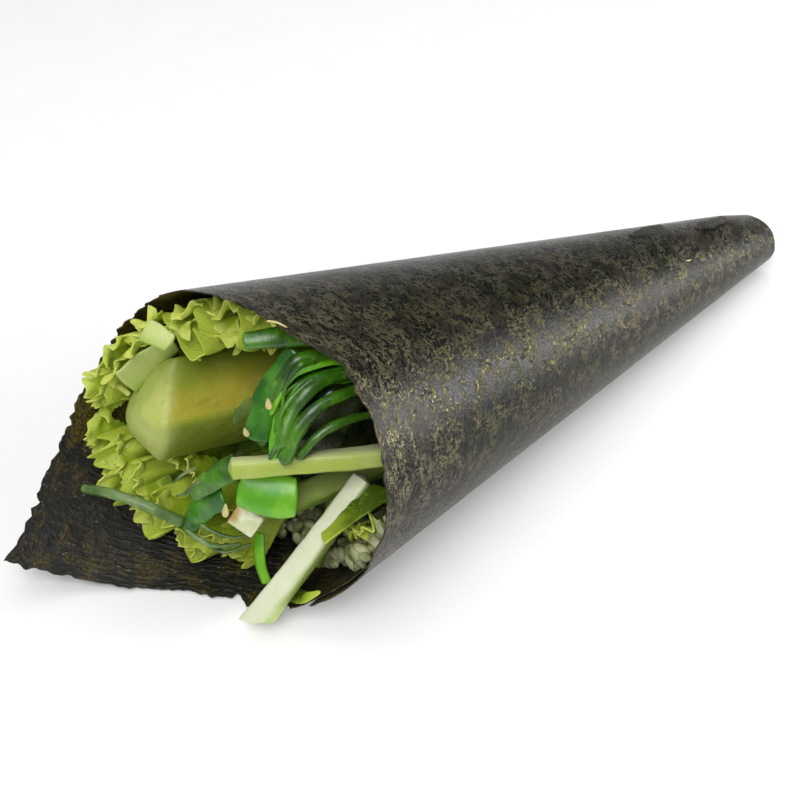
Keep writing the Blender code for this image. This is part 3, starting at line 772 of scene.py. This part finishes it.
# %% Sticks
STICK_THICK = 4.6
STICKS = {                # path to the cut end, widths, thickness, up, end's slant
    "cucumber_stick_1": (((-217, -28.0, 41.0), (-232, -21.0, 42.0), (-246, -12.5, 42.6), (-258, -5.0, 43.0)),
                         (9.5, 7.0, 5.6, 5.2), STICK_THICK, (0.25, 0.55, 1.0), 0.0),
    "cucumber_stick_2": (((-220, -12.5, 25.5), (-233, -12.0, 27.0), (-247, -10.5, 28.0)),
                         (7.5, 6.8, 6.0), STICK_THICK - 0.8, (-0.3, -0.2, 1.0), 0.0),
    "cucumber_stick_3": (((-229, -18.6, 31.6), (-247, -20.2, 19.6), (-264.6, -19.2, 4.6)),
                         (4.8, 5.9, 7.0), STICK_THICK, (-0.75, -0.25, 1.0), 0.7),
    "cucumber_stick_4": (((-230.8, -12.5, 22.6), (-239.7, -16.6, 18.4), (-247.2, -20.2, 13.6)),
                         (4.6, 4.4, 4.2), 2.6, (-0.75, -0.25, 1.0), 0.0),
}


STICK_COLOURS = ((tint(216, 219, 168), tint(160, 178, 74)), (tint(150, 166, 92), tint(104, 128, 40)),
                 (tint(222, 225, 198), tint(158, 178, 92)), (tint(150, 168, 84), tint(106, 134, 40)))


def stick_finish(name, pale, green, greener_side):
    """greener_side is where round the stick the skin was, 0 to 1."""
    paint = Finish(name, Specular_IOR_Level=0.5, Subsurface_Weight=0.2, Subsurface_Scale=0.003)
    paint.shader.inputs["Subsurface Radius"].default_value = (0.8, 1.0, 0.5)
    flat = paint.sheet_place((18.0, 45.0))
    strings = paint.noise(paint.sheet_place((18.0, 45.0), (1.0, 0.12)), 1.6, 3.0, 0.6)
    cloud = paint.noise(flat, 0.12, 3.0)
    round_it = paint.parts(flat)[0] / 18.0
    skin = ((round_it - greener_side) * (2 * np.pi)).maths("COSINE") * 0.5 + 0.5
    share = (skin.step(0.35, 1.0) * 0.85 + cloud * 0.9 - 0.45 + strings * 0.25).clamped()
    colour = paint.mix(pale, green, share)
    rough = 0.30 + 0.2 * strings
    return paint.done(colour, rough, strings + cloud * 0.6, 0.15, 0.6)


for name, (path, widths, thick, up, slant) in STICKS.items():
    stick = sweep(name + "_cut", path, widths, (thick, thick), up, 32, 46, 4.2, 0.7, slant, bumps=0.06,
                  seed=float(len(path)) + slant)
    pale, green = STICK_COLOURS[int(name[-1]) - 1]
    stick.data.materials.append(stick_finish(name + "_flesh", pale, green, 0.55))
    shade(stick, 50.0)
    finish_piece(stick, "cucumber", name)

# %% [markdown]
# ## Avocado
# The slice is a wedge of ripe avocado. The knife left it smooth, with a broad face that is yellow near
# the stone and greener near the skin, and soft, blunted edges. Its outline changes along its length,
# so it is not a plain sweep: the grid is wrapped round an outline of named corners, which a smooth line
# joins, and each row is set slanting where the slice was cut across.

# %% The avocado slice
SLICE_END = np.array((-263.0, 18.4, 42.3))
SLICE_ALONG = np.array((0.966, -0.150, -0.210)) / np.linalg.norm((0.966, -0.150, -0.210))
SLICE_ACROSS = np.array((0.256, 0.647, 0.718)) / np.linalg.norm((0.256, 0.647, 0.718))
SLICE_LENGTH, SLICE_FACE = 66.0, 15.0
SLICE_OUTLINE = ((0.0, 0.0), (0.34, 0.0), (0.67, 0.0), (0.95, 0.0), (1.0, 0.08), (1.0, 0.32),
                 (0.90, 0.66), (0.64, 0.94), (0.28, 1.06), (-0.10, 1.02), (-0.42, 0.86),
                 (-0.56, 0.70), (-0.55, 0.58), (-0.40, 0.26), (-0.20, 0.05))


def make_avocado():
    around, along = 90, 72
    piece, u, v = flat_grid("avocado_slice_cut", around, along)
    corners = [(w, d, 0.0) for w, d in SLICE_OUTLINE + SLICE_OUTLINE[:1]]
    ring = curve_through(corners, around + 1)[:, :2]
    column, row = np.rint(u * around).astype(int) % around, np.rint(v * along).astype(int)
    t = row / along
    w, d = ring[column].T
    squeeze = rounded(t, SLICE_LENGTH, 3.2)
    w, d = 0.25 + (w - 0.25) * squeeze, 0.5 + (d - 0.5) * squeeze
    taper = 1.0 - 0.55 * smooth((t - 0.45) / 0.6)
    lean = 0.42 * np.maximum(w, 0.0) - 0.34 * d * smooth(w + 0.6)
    face = np.cross(SLICE_ALONG, SLICE_ACROSS)
    soft = 0.22 * wave_noise(t * SLICE_LENGTH, w * 15 + 20 * d, 3.0, 6.0)
    middle = SLICE_END + SLICE_ALONG * (SLICE_LENGTH * t)[:, None] + face * (
        (2.4 * np.sin(np.pi * t) - 2.0 * t) * 0.4)[:, None]
    at = (middle + SLICE_ALONG * (SLICE_FACE * lean * (1.0 - t))[:, None]
          + SLICE_ACROSS * (SLICE_FACE * w * taper)[:, None] - face * (SLICE_FACE * d * taper + soft)[:, None])
    set_points(piece, at)
    return close_tube(piece)


def avocado_finish():
    paint = Finish("avocado_flesh", Specular_IOR_Level=0.4, Subsurface_Weight=0.15, Subsurface_Scale=0.002)
    paint.shader.inputs["Subsurface Radius"].default_value = (0.9, 1.0, 0.2)
    flat = paint.sheet_place((55.0, SLICE_LENGTH))
    round_it, length = paint.parts(flat)[:2]
    round_it = round_it / 55.0
    at = paint.place()
    cloud = paint.noise(at, 0.09, 3.0, 0.6)
    fine = paint.noise(paint.place((0.35, 1.0, 1.0)), 0.35, 4.0, 0.6)
    ripe = (length * 0.022 + cloud * 0.9 - round_it * 1.2 - 0.28).step(0.0, 0.45)
    colour = paint.mix(tint(154, 164, 50), tint(178, 168, 58), ripe)
    colour = paint.mix(colour, tint(194, 192, 106), paint.noise(at, 0.16, 3.0, 0.6).step(0.52, 0.68) * 0.6)
    skin_side = round_it.step(0.05, 0.22) * round_it.step(0.72, 0.60)
    colour = paint.mix(colour, tint(108, 130, 24), (skin_side + cloud * 0.7 - 0.35).clamped())
    # Darker olive on the narrow cut face that turns under the slice: painted shade.
    colour = paint.mix(colour, tint(98, 112, 26), round_it.step(0.60, 0.72) * round_it.step(1.0, 0.95) * 0.8)
    # Paler towards the cut end: painted light on the end face.
    painted_light_end = length.step(7.0, 0.5) * (0.55 + 0.8 * (cloud - 0.3))
    colour = paint.mix(colour, tint(192, 202, 118), painted_light_end.clamped() * 0.85)
    colour = paint.mix(colour, tint(134, 122, 34), fine.step(0.56, 0.76) * 0.3)
    return paint.done(colour, 0.34 + 0.25 * fine, cloud * 1.4 + fine * 0.8, 0.6, 0.8)


avocado = make_avocado()
avocado.data.materials.append(avocado_finish())
shade(avocado, 75.0)
finish_piece(avocado, "avocado", "avocado_slice")

# %% [markdown]
# ## Rice
# Sushi rice is short and plump, five or six millimetres long, and its grains stick together without
# melting into each other. A bed of lumps would look like curd, so one grain is modelled and copied
# hundreds of times. Below the grains lies a core, a little smaller than the whole bed, so that no gap
# between the grains shows through to the sheet.

# %% The rice core and its grains


def make_rice_core():
    across, along = 60, 70
    piece, u, v = flat_grid("rice_core", across, along)
    modify(piece, "SOLIDIFY", thickness=0.5, offset=0.0)
    at = points_of(piece)
    u, v, upper = (at[:, 0] + 1) / 2, (at[:, 1] + 1) / 2, at[:, 2] > 0
    start, end = RICE_TURNS
    turn = start + 5.0 + (end - start - 10.0) * np.clip(u, 0, 1)
    v = np.clip(v, 0, 1)
    reach = RICE_BACK + 6.0 + (rice_front(turn) - RICE_BACK - 9.0) * v
    height = np.maximum(0.5, (rice_top(turn, reach) - 1.7) * smooth(np.minimum(v, 1 - v) * 12.0 + 0.35))
    set_points(piece, cone(turn, reach, INSIDE + np.where(upper, height, 0.25)))
    recalculate(piece)
    return piece


def rice_grain():
    """One cooked grain at the origin, 5.4 mm long, a little bent and pointed."""
    bpy.ops.object.select_all(action="DESELECT")
    bpy.ops.mesh.primitive_uv_sphere_add(segments=8, ring_count=6, radius=0.5, location=(0, 0, 0))
    grain = bpy.context.object
    grain.name = grain.data.name = "rice_grain"
    at = points_of(grain)
    along = at[:, 2] * 2.0
    at = np.column_stack((at[:, 0] * (3.0 - 0.5 * along ** 2), at[:, 1] * (2.6 - 0.5 * along ** 2),
                          at[:, 2] * 5.4)) + np.column_stack((0.35 * along ** 2, 0 * along, 0 * along))
    grain.data.vertices.foreach_set("co", at.ravel())
    return grain, at


def grain_places(seed):
    """Places for grains on the rice's top and front, with the way out of the rice at each."""
    rng = np.random.default_rng(seed)
    out = []
    start, end = RICE_TURNS
    for reach in np.arange(RICE_BACK + 4.0, RICE_FRONT - 1.0, 4.3):
        step = 3.3 / (reach * sin(HALF_ANGLE) * 0.82) * 180.0 / np.pi
        for turn in np.arange(start + 2.5, end - 2.0, step):
            turn, place = turn + rng.normal(0, step * 0.25), reach + rng.normal(0, 0.8)
            if place < rice_front(turn) - 1.6:
                top = INSIDE + rice_top(turn, place) - 0.9 + rng.normal(0, 0.25)
                out.append((cone(turn, place, top), cone(turn, place, top + 1.0) - cone(turn, place, top)))
    for layer in np.arange(0.0, 1.01, 0.34):
        for turn in np.arange(start + 3.0, end - 2.0, 5.5):
            turn = turn + rng.normal(0, 1.6)
            place = rice_front(turn) - 2.0 + rng.normal(0, 0.9)
            depth = INSIDE + 1.2 + (rice_top(turn, place) - 2.2) * layer
            out.append((cone(turn, place, depth), cone(turn, place + 1.0, depth) - cone(turn, place, depth)))
    return out, rng


def scatter(model, at, places, rng, name, tilt=0.45, sizes=(0.88, 1.1)):
    """Copies the model to every place, lying flat on the surface but turned at random; joins the copies."""
    copies = []
    for spot, out in places:
        out = np.asarray(out) / np.linalg.norm(out) + rng.normal(0, tilt * 0.4, 3)
        out /= np.linalg.norm(out)
        lying = np.cross(out, rng.normal(0, 1, 3))
        lying /= np.linalg.norm(lying)
        frame3 = np.array((np.cross(lying, out), out, lying))
        copy = model.copy()
        copy.data = model.data.copy()
        bpy.context.collection.objects.link(copy)
        placed = (at * rng.uniform(*sizes, 3)) @ frame3 + np.asarray(spot)
        set_points(copy, placed)
        copies.append(copy)
    bpy.ops.object.select_all(action="DESELECT")
    for copy in copies:
        copy.select_set(True)
    bpy.context.view_layer.objects.active = copies[0]
    bpy.ops.object.join()
    copies[0].name = copies[0].data.name = name
    bpy.data.objects.remove(model, do_unlink=True)
    return copies[0]


def rice_finish(name, low, high):
    paint = Finish(name, Specular_IOR_Level=0.5, Subsurface_Weight=0.3, Subsurface_Scale=0.0012)
    paint.shader.inputs["Subsurface Radius"].default_value = (1.0, 1.0, 0.7)
    speck = paint.noise(paint.place(), 0.25, 3.0)
    return paint.done(paint.mix(low, high, speck.step(0.4, 0.6)), 0.26 + 0.2 * speck, speck, 0.15, 0.5)


core = make_rice_core()
# The core is coloured darker than the grains: painted shade in the gaps between them.
core.data.materials.append(rice_finish("rice_core_painted_shade", tint(96, 104, 62), tint(136, 140, 100)))
shade(core, 60.0)
finish_piece(core, "rice", "rice_bed")
grain, grain_at = rice_grain()
spots, rng = grain_places(4)
grains = scatter(grain, grain_at, spots, rng, "rice_grains")
grains.data.materials.append(rice_finish("rice_grain_white", tint(124, 130, 80), tint(172, 175, 134)))
shade(grains, 180.0)
finish_piece(grains, "rice")

# %% [markdown]
# ## Wakame salad
# Wakame is a slippery seaweed, cut in ribbons a few millimetres wide. In the mouth a bundle of it hangs
# from under the sheet's top edge down to the sticks. Each strand is a sweep of its own, thin and
# glossy, with a bow across its width. A core behind them stands for the strands nobody can see; it is
# painted nearly black as painted shade, so that the gaps between the front strands are deep green and not empty.

# %% Wakame core, strands and flat pieces
STRANDS = {                  # path, widths, thickness, broad side, twist
    "arch": (((-227, -11, 62), (-233, -10, 66.5), (-239, -8.5, 67.5), (-243.5, -7.5, 63), (-246.5, -8, 57)),
             (2.6, 3.4, 3.0, 2.4), 1.5, (-0.6, -0.6, 0.6), 20),
    "inner_arch": (((-225, -12.5, 58.5), (-231, -11.5, 60.5), (-238, -11, 60.5), (-244, -11, 56), (-249, -13, 50)),
                   (2.2, 3.0, 3.6, 3.0), 1.4, (-0.6, -0.6, 0.6), -15),
    "yellow_strand": (((-229, -9.5, 57.5), (-236, -8.5, 59), (-242, -8.3, 56), (-246.5, -9.5, 51), (-249.5, -11, 45)),
                      (2.2, 3.2, 3.8, 2.4), 1.3, (-0.7, -0.6, 0.5), 25),
    "long_strand": (((-224, -16, 56.5), (-231, -15.5, 58), (-238, -14.5, 57.5), (-244, -14, 53.5), (-249.5, -15, 46.5)),
                    (2.4, 2.8, 3.4, 3.2), 1.5, (-0.6, -0.6, 0.6), 10),
    "lowest_strand": (((-226, -18.5, 50.5), (-233, -17.8, 52.5), (-240, -16.5, 51.5), (-246, -15.5, 46.5)),
                      (1.6, 2.2, 2.4, 1.8), 1.2, (-0.6, -0.6, 0.6), -20),
    "dark_strand": (((-226, -6, 56), (-233, -5.5, 60), (-240, -4.5, 60.5), (-246, -5, 55), (-250, -7.5, 47)),
                    (3.0, 3.6, 3.4, 3.0), 1.6, (-0.7, -0.5, 0.5), 0),
    "back_strand": (((-224, -3, 50), (-231, -2, 55), (-238, -1, 56), (-244, -1, 52), (-249, -3, 45)),
                    (3.4, 4.0, 4.0, 3.0), 1.6, (-0.7, -0.5, 0.5), 12),
    "cavity_piece": (((-224, -9, 33), (-229, -7, 35), (-234, -7, 34)), (3.0, 4.0, 2.5), 1.0, (-0.6, -0.5, 0.8), 30),
}
FLAT_PIECES = {
    "wakame_band": (((-237, -6.0, 67.5), (-245, -4.5, 58.5), (-251, -6.5, 48.5)), (5.5, 6.2, 6.0), 1.1,
                    (-0.7, -0.6, 0.5)),
    "wakame_top_strand": (((-233, -6.5, 69.5), (-240, -3.0, 71.5), (-247, 1.0, 71.5)), (4.2, 4.4, 4.0), 1.6,
                          (-0.5, -0.5, 0.8)),
    "wakame_bright_piece": (((-247, -16.0, 34.5), (-252, -11.0, 34.5), (-256, -5.0, 35.5)), (9.0, 11.0, 9.0),
                            1.1, (-0.7, -0.6, 0.7)),
    "wakame_flat_piece": (((-252, 0.5, 36.0), (-257, 3.5, 32.5), (-262, 8.0, 25.5)), (6.5, 6.2, 4.0), 1.1,
                          (-0.5, -0.7, 1.0)),
    "wakame_teal_piece": (((-256.5, 2.0, 27.5), (-260, 6.5, 22.0), (-264.5, 9.5, 13.0)), (7.0, 7.5, 4.4), 1.1,
                          (-0.7, -0.3, 0.8)),
    "wakame_low_strand": (((-251, -3.0, 14.0), (-254, -7.0, 8.5), (-255, -11.0, 4.2)), (3.8, 3.6, 3.0), 1.0,
                          (-0.8, 0.1, 0.6)),
    "wakame_stem": (((-265, 8.0, 18.0), (-271, 14.8, 23.0), (-276, 22.4, 24.5), (-279.3, 31.0, 21.4)),
                    (2.9, 2.6, 2.2), 1.9, (-0.3, -0.3, 1.0)),
}


def wakame_finish(name, dark, mid, bright, gloss=0.16):
    paint = Finish(name, Specular_IOR_Level=0.6, Subsurface_Weight=0.12, Subsurface_Scale=0.002)
    paint.shader.inputs["Subsurface Radius"].default_value = (0.4, 1.0, 0.3)
    at = paint.place()
    cloud = paint.noise(at, 0.12, 3.0)
    fine = paint.noise(paint.place((1.0, 1.0, 0.4)), 0.6, 3.0, 0.6)
    colour = paint.mix(dark, mid, cloud.step(0.36, 0.62))
    colour = paint.mix(colour, bright, fine.step(0.5, 0.8) * cloud.step(0.4, 0.65) * 0.8)
    return paint.done(colour, gloss + 0.25 * fine, cloud + fine * 0.4, 0.4, 0.6)


def make_wakame_core():
    bpy.ops.object.select_all(action="DESELECT")
    bpy.ops.mesh.primitive_uv_sphere_add(segments=40, ring_count=24, radius=1.0, location=(0, 0, 0))
    piece = bpy.context.object
    piece.name = piece.data.name = "wakame_core"
    at = points_of(piece)
    lean, along = np.array((0.20, -0.30, 0.93)), np.array((1.0, 0.0, -0.2))
    lean, along = lean / np.linalg.norm(lean), along / np.linalg.norm(along)
    side = np.cross(lean, along)
    folds = 1.0 + 0.07 * np.sin(9 * at[:, 1] + 3 * at[:, 0]) + 0.05 * np.sin(13 * at[:, 0] - 5 * at[:, 2])
    at = at * folds[:, None] * np.array((17.0, 9.5, 20.0))
    set_points(piece, np.array((-227.0, -4.0, 40.0)) + at[:, :1] * along + at[:, 1:2] * side + at[:, 2:] * lean)
    return piece


# The core's finish is nearly black: painted shade between the strands.
wakame_painted_shade = wakame_finish("wakame_painted_shade", tint(10, 16, 6), tint(22, 36, 12), tint(44, 70, 26))
wakame_green = wakame_finish("wakame_green", tint(30, 66, 8), tint(70, 122, 22), tint(122, 170, 56))
wakame_bright = wakame_finish("wakame_bright", tint(78, 156, 12), tint(112, 178, 18), tint(150, 200, 40), 0.22)
wakame_teal = wakame_finish("wakame_teal", tint(34, 92, 18), tint(74, 140, 30), tint(124, 176, 72))
wakame_grey = wakame_finish("wakame_grey", tint(62, 92, 34), tint(100, 128, 66), tint(150, 172, 112), 0.3)
core = make_wakame_core()
core.data.materials.append(wakame_painted_shade)
shade(core, 60.0)
finish_piece(core, "wakame", "wakame_bundle")
for count, (name, (path, widths, thick, up, twist)) in enumerate(STRANDS.items()):
    strand = sweep("wakame_" + name, path, widths, (thick, thick), up, 18, 60, 2.4, 1.2, twist=twist, bow=-0.35,
                   bumps=0.22, seed=1.7 * count)
    strand.data.materials.append(wakame_bright if name == "yellow_strand" else wakame_green)
    shade(strand, 80.0)
    finish_piece(strand, "wakame")


def fine_strands(count, seed):
    """Thin strands between the broad ones, each a blend of two neighbours pushed a little deeper."""
    rng = np.random.default_rng(seed)
    rows = [np.array(row[0]) for row in STRANDS.values() if len(row[0]) == 5]
    made = []
    for i in range(count):
        at = rng.uniform(0, len(rows) - 1.001)
        path = rows[int(at)] * (1 - at % 1) + rows[int(at) + 1] * (at % 1)
        path = path + rng.normal(0, 0.7, path.shape) + np.array((0.7, 0.6, -0.9)) * rng.uniform(-0.9, 2.6)
        wide, thin = rng.uniform(1.0, 2.3), rng.uniform(0.7, 1.1)
        strand = sweep("wakame_fine_strand", path, (wide * 0.7, wide, wide * 1.1, wide * 0.6), (thin, thin),
                       (-0.6, -0.6, 0.6), 12, 44, 2.4, 1.0, twist=rng.uniform(-90, 90), bow=-0.3, bumps=0.2,
                       seed=9.0 + i)
        strand.data.materials.append((wakame_green, wakame_bright, wakame_teal, wakame_green)[i % 4])
        made.append(strand)
    bpy.ops.object.select_all(action="DESELECT")
    for strand in made:
        strand.select_set(True)
    bpy.context.view_layer.objects.active = made[0]
    bpy.ops.object.join()
    made[0].name = made[0].data.name = "wakame_fine_strands"
    shade(made[0], 80.0)
    return finish_piece(made[0], "wakame")


fine_strands(22, 5)
for count, (name, (path, widths, thick, up)) in enumerate(FLAT_PIECES.items()):
    flat = sweep(name + "_cut", path, widths, (thick, thick), up, 28, 50, 3.0, 0.8, bow=-0.25, bumps=0.12,
                 seed=2.3 * count)
    flat.data.materials.append({"wakame_bright_piece": wakame_bright, "wakame_stem": wakame_grey,
                                "wakame_teal_piece": wakame_teal, "wakame_low_strand": wakame_bright,
                                "wakame_band": wakame_teal}.get(name, wakame_green))
    shade(flat, 60.0)
    finish_piece(flat, "wakame", name)

# %% [markdown]
# ## Small pieces of leaf, and the radish dice
# A narrow strip of lettuce hangs over the near stick, a sprig lies at the lower edge, and a rib of the
# leaf shows as a pale band. The dice is cut from white radish, with its corners a little worn.

# %% Leaf pieces and dice
LEAF_PIECES = {
    "lettuce_strip": (((-228, -26.8, 33), (-238.5, -27.2, 33.0), (-247.5, -25.8, 28.5)), (10.0, 8.5, 6.0), 0.9,
                      (0.1, 0.5, 1.0)),
    "lettuce_sprig": ((cone(-31, 252.5, 2.7), cone(-36, 254.5, 2.6), cone(-42, 255.0, 2.7), cone(-49, 253.0, 2.8)),
                      (1.6, 4.4, 3.0, 0.8), 0.8, (-0.3, 0.0, 1.0)),
    "lettuce_rib": ((cone(115, 257, 7.6), cone(107, 263.5, 8.6), cone(99, 270, 10.0)), (6.0, 8.8, 9.6), 1.2,
                    (-0.1, -0.9, 0.0)),
    "leaf_stem_piece": (((-257.5, 14.0, 67.6), (-259, 17.0, 69.0), (-260.5, 20.6, 69.4)), (4.4, 5.2, 5.6), 1.6,
                        (-0.3, -0.5, 1.0)),
}
leaf_pale = stick_finish("lettuce_rib_flesh", tint(190, 202, 124), tint(150, 172, 66), 0.5)
for count, (name, (path, widths, thick, up)) in enumerate(LEAF_PIECES.items()):
    leaf = sweep(name + "_cut", path, widths, (thick, thick), up, 28, 44, 3.0, 0.8, bow=0.15, bumps=0.15,
                 seed=5.1 * count)
    leaf.data.materials.append(leaf_green if name in ("lettuce_strip", "lettuce_sprig") else leaf_pale)
    shade(leaf, 60.0)
    finish_piece(leaf, "leaf_rib" if name in ("lettuce_rib", "leaf_stem_piece") else "leaf", name)


def make_dice():
    bpy.ops.object.select_all(action="DESELECT")
    spot = (CONE_POINT + Vector((-254.0, -4.8, 23.6))) * MM
    bpy.ops.mesh.primitive_cube_add(size=0.0072, location=spot,
                                    rotation=(radians(28), radians(24), radians(38)), scale=(0.85, 1.0, 0.9))
    piece = bpy.context.object
    piece.name = piece.data.name = "radish_dice_cut"
    bpy.ops.object.transform_apply(location=True, rotation=True, scale=True)
    modify(piece, "BEVEL", width=0.0007, segments=3)
    modify(piece, "SUBSURF", levels=1, render_levels=1)
    return piece


def radish_finish():
    paint = Finish("radish_white", Specular_IOR_Level=0.5, Subsurface_Weight=0.3, Subsurface_Scale=0.002)
    paint.shader.inputs["Subsurface Radius"].default_value = (1.0, 1.0, 0.7)
    cloud = paint.noise(paint.place(), 0.25, 3.0)
    spot = np.array(CONE_POINT) + np.array((-257.0, -1.6, 26.2))
    away = paint.node("ShaderNodeVectorMath", {"operation": "DISTANCE"},
                      {"Vector": paint.place(), "Vector_001": tuple(spot)}, "Value")
    colour = paint.mix(tint(200, 204, 156), tint(222, 225, 196), cloud.step(0.4, 0.6))
    colour = paint.mix(colour, tint(172, 132, 44), (away + cloud * 1.5).step(5.2, 3.4) * 0.8)
    return paint.done(colour, 0.3 + 0.2 * cloud, cloud, 0.3, 0.5)


dice = make_dice()
dice.data.materials.append(radish_finish())
shade(dice, 50.0)
finish_piece(dice, "radish", "radish_dice")

# %% [markdown]
# ## The last small things
# Sesame seeds and thin curls of seaweed lie among the wakame, and a scrap of leaf lies on the avocado.
# The sheet has a torn scrap standing up near the tip, and pale bits of fibre on its rim. All of these
# are a few millimetres long, but they tell a handmade roll from a moulded one.

# %% Seeds, curls and scraps


def seed_finish():
    paint = Finish("sesame_hull", Specular_IOR_Level=0.5)
    cloud = paint.noise(paint.place(), 0.5, 2.0)
    return paint.done(paint.mix(tint(176, 168, 96), tint(206, 196, 138), cloud), 0.35 + 0.2 * cloud)


def sesame_seed(spot, ahead, size):
    """A flat drop, 3 mm long, pointed at one end."""
    bpy.ops.object.select_all(action="DESELECT")
    bpy.ops.mesh.primitive_uv_sphere_add(segments=20, ring_count=14, radius=0.5, location=(0, 0, 0))
    piece = bpy.context.object
    at = points_of(piece)
    slim = 1.0 - 0.55 * smooth(at[:, 2] + 0.5)
    lying, across, face = (row[0] for row in directions(np.array((spot, np.add(spot, ahead))), (-0.6, -0.5, 0.6)))
    set_points(piece, np.array(spot) + size * (at[:, 2:] * 3.0 * lying + (at[:, 0] * 2.0 * slim)[:, None] * across
                                              + (at[:, 1] * 0.9 * slim)[:, None] * face))
    return piece


def join_as(pieces, name):
    bpy.ops.object.select_all(action="DESELECT")
    for piece in pieces:
        piece.select_set(True)
    bpy.context.view_layer.objects.active = pieces[0]
    bpy.ops.object.join()
    pieces[0].name = pieces[0].data.name = name
    return pieces[0]


seeds = join_as([sesame_seed((-248.4, -9.6, 61.0), (0.1, 0.2, 1.0), 1.0),
                 sesame_seed((-252.6, -5.6, 51.8), (-0.1, 0.2, 1.0), 0.9),
                 sesame_seed((-259.6, -4.0, 29.0), (0.5, 0.6, 0.6), 1.1)], "sesame_seeds")
seeds.data.materials.append(seed_finish())
shade(seeds, 60.0)
finish_piece(seeds, "wakame")

CURLS = (
    (((-265, 8.0, 16.0), (-264, 4.3, 15.0), (-262, 1.0, 13.6), (-259, -0.8, 12.8), (-256, -3.4, 13.6)), 1.5, 0.9),
    (((-264, 6.5, 14.0), (-262, 3.6, 12.0), (-260, -0.4, 10.9), (-257, -2.6, 11.6), (-254, -4.6, 13.2)), 1.2, 0.8),
    (((-262, 5.5, 17.5), (-260, 2.0, 16.0), (-257, -1.5, 15.0), (-254, -3.6, 15.6)), 1.1, 0.7),
    (((-263, -1.0, 39.4), (-264.5, 1.6, 36.0), (-265, 5.0, 31.0), (-265.5, 8.6, 27.6)), 0.9, 0.6),
    (((-262.5, 1.8, 41.0), (-264.8, 4.8, 37.6), (-266, 7.6, 33.4)), 0.8, 0.6),
)
curls = join_as([sweep("wakame_curl", path, (wide * 0.8, wide, wide * 0.7), (thin, thin), (-0.6, -0.4, 0.8), 12, 36,
                       2.2, 0.8, twist=80.0, bumps=0.15, seed=31.0 + wide) for path, wide, thin in CURLS], "wakame_curls")
curls.data.materials.append(wakame_grey)
shade(curls, 80.0)
finish_piece(curls, "wakame")

scrap = sweep("leaf_scrap", ((-247.9, -2.4, 57.0), (-250.4, -1.2, 53.7), (-251.8, -0.2, 49.6)), (1.2, 3.4, 1.0), (0.5, 0.5),
              (-0.7, -0.5, 0.5), 20, 30, 2.2, 0.8, twist=40.0, bumps=0.9, seed=3.0)
scrap.data.materials.append(wakame_finish("leaf_scrap_olive", tint(70, 92, 14), tint(98, 118, 26), tint(150, 76, 34), 0.7))
shade(scrap, 60.0)
finish_piece(scrap, "leaf")

torn = join_as([
    sweep("nori_scrap", (cone(176, 121, 0.1), cone(175, 114, -0.5), cone(173, 105, -1.1)), (2.4, 4.2, 3.0), (0.3, 0.3),
          (0.0, 0.0, 1.0), 24, 24, 2.6, 0.4, bumps=0.5, seed=8.0),
    sweep("nori_scrap", (cone(184, 92, 0.1), cone(182, 84, -0.5), cone(178, 74, -0.8)), (2.0, 4.6, 3.0), (0.3, 0.3),
          (0.0, 0.0, 1.0), 24, 24, 2.6, 0.4, bumps=0.5, seed=11.0)], "nori_scraps")
torn.data.materials.append(nori_outside())
shade(torn, 60.0)
finish_piece(torn, "nori")

fibres = join_as([sweep("pale_fibre", path, (wide, wide * 1.3, wide * 0.6), (0.3, 0.3), (0.0, 0.0, 1.0), 10, 16, 2.2, 0.3,
                        bumps=0.3, seed=wide) for path, wide in (
    ((cone(186, 256.0, -0.1), cone(188, 254.4, -0.4), cone(191, 252.9, -0.3)), 0.5),
    ((cone(218, 108.5, -0.2), cone(219, 107.3, -0.3), cone(219, 105.8, -0.2)), 0.5))], "pale_fibres")
fibres.data.materials.append(seed_finish())
shade(fibres, 60.0)
finish_piece(fibres, "nori")
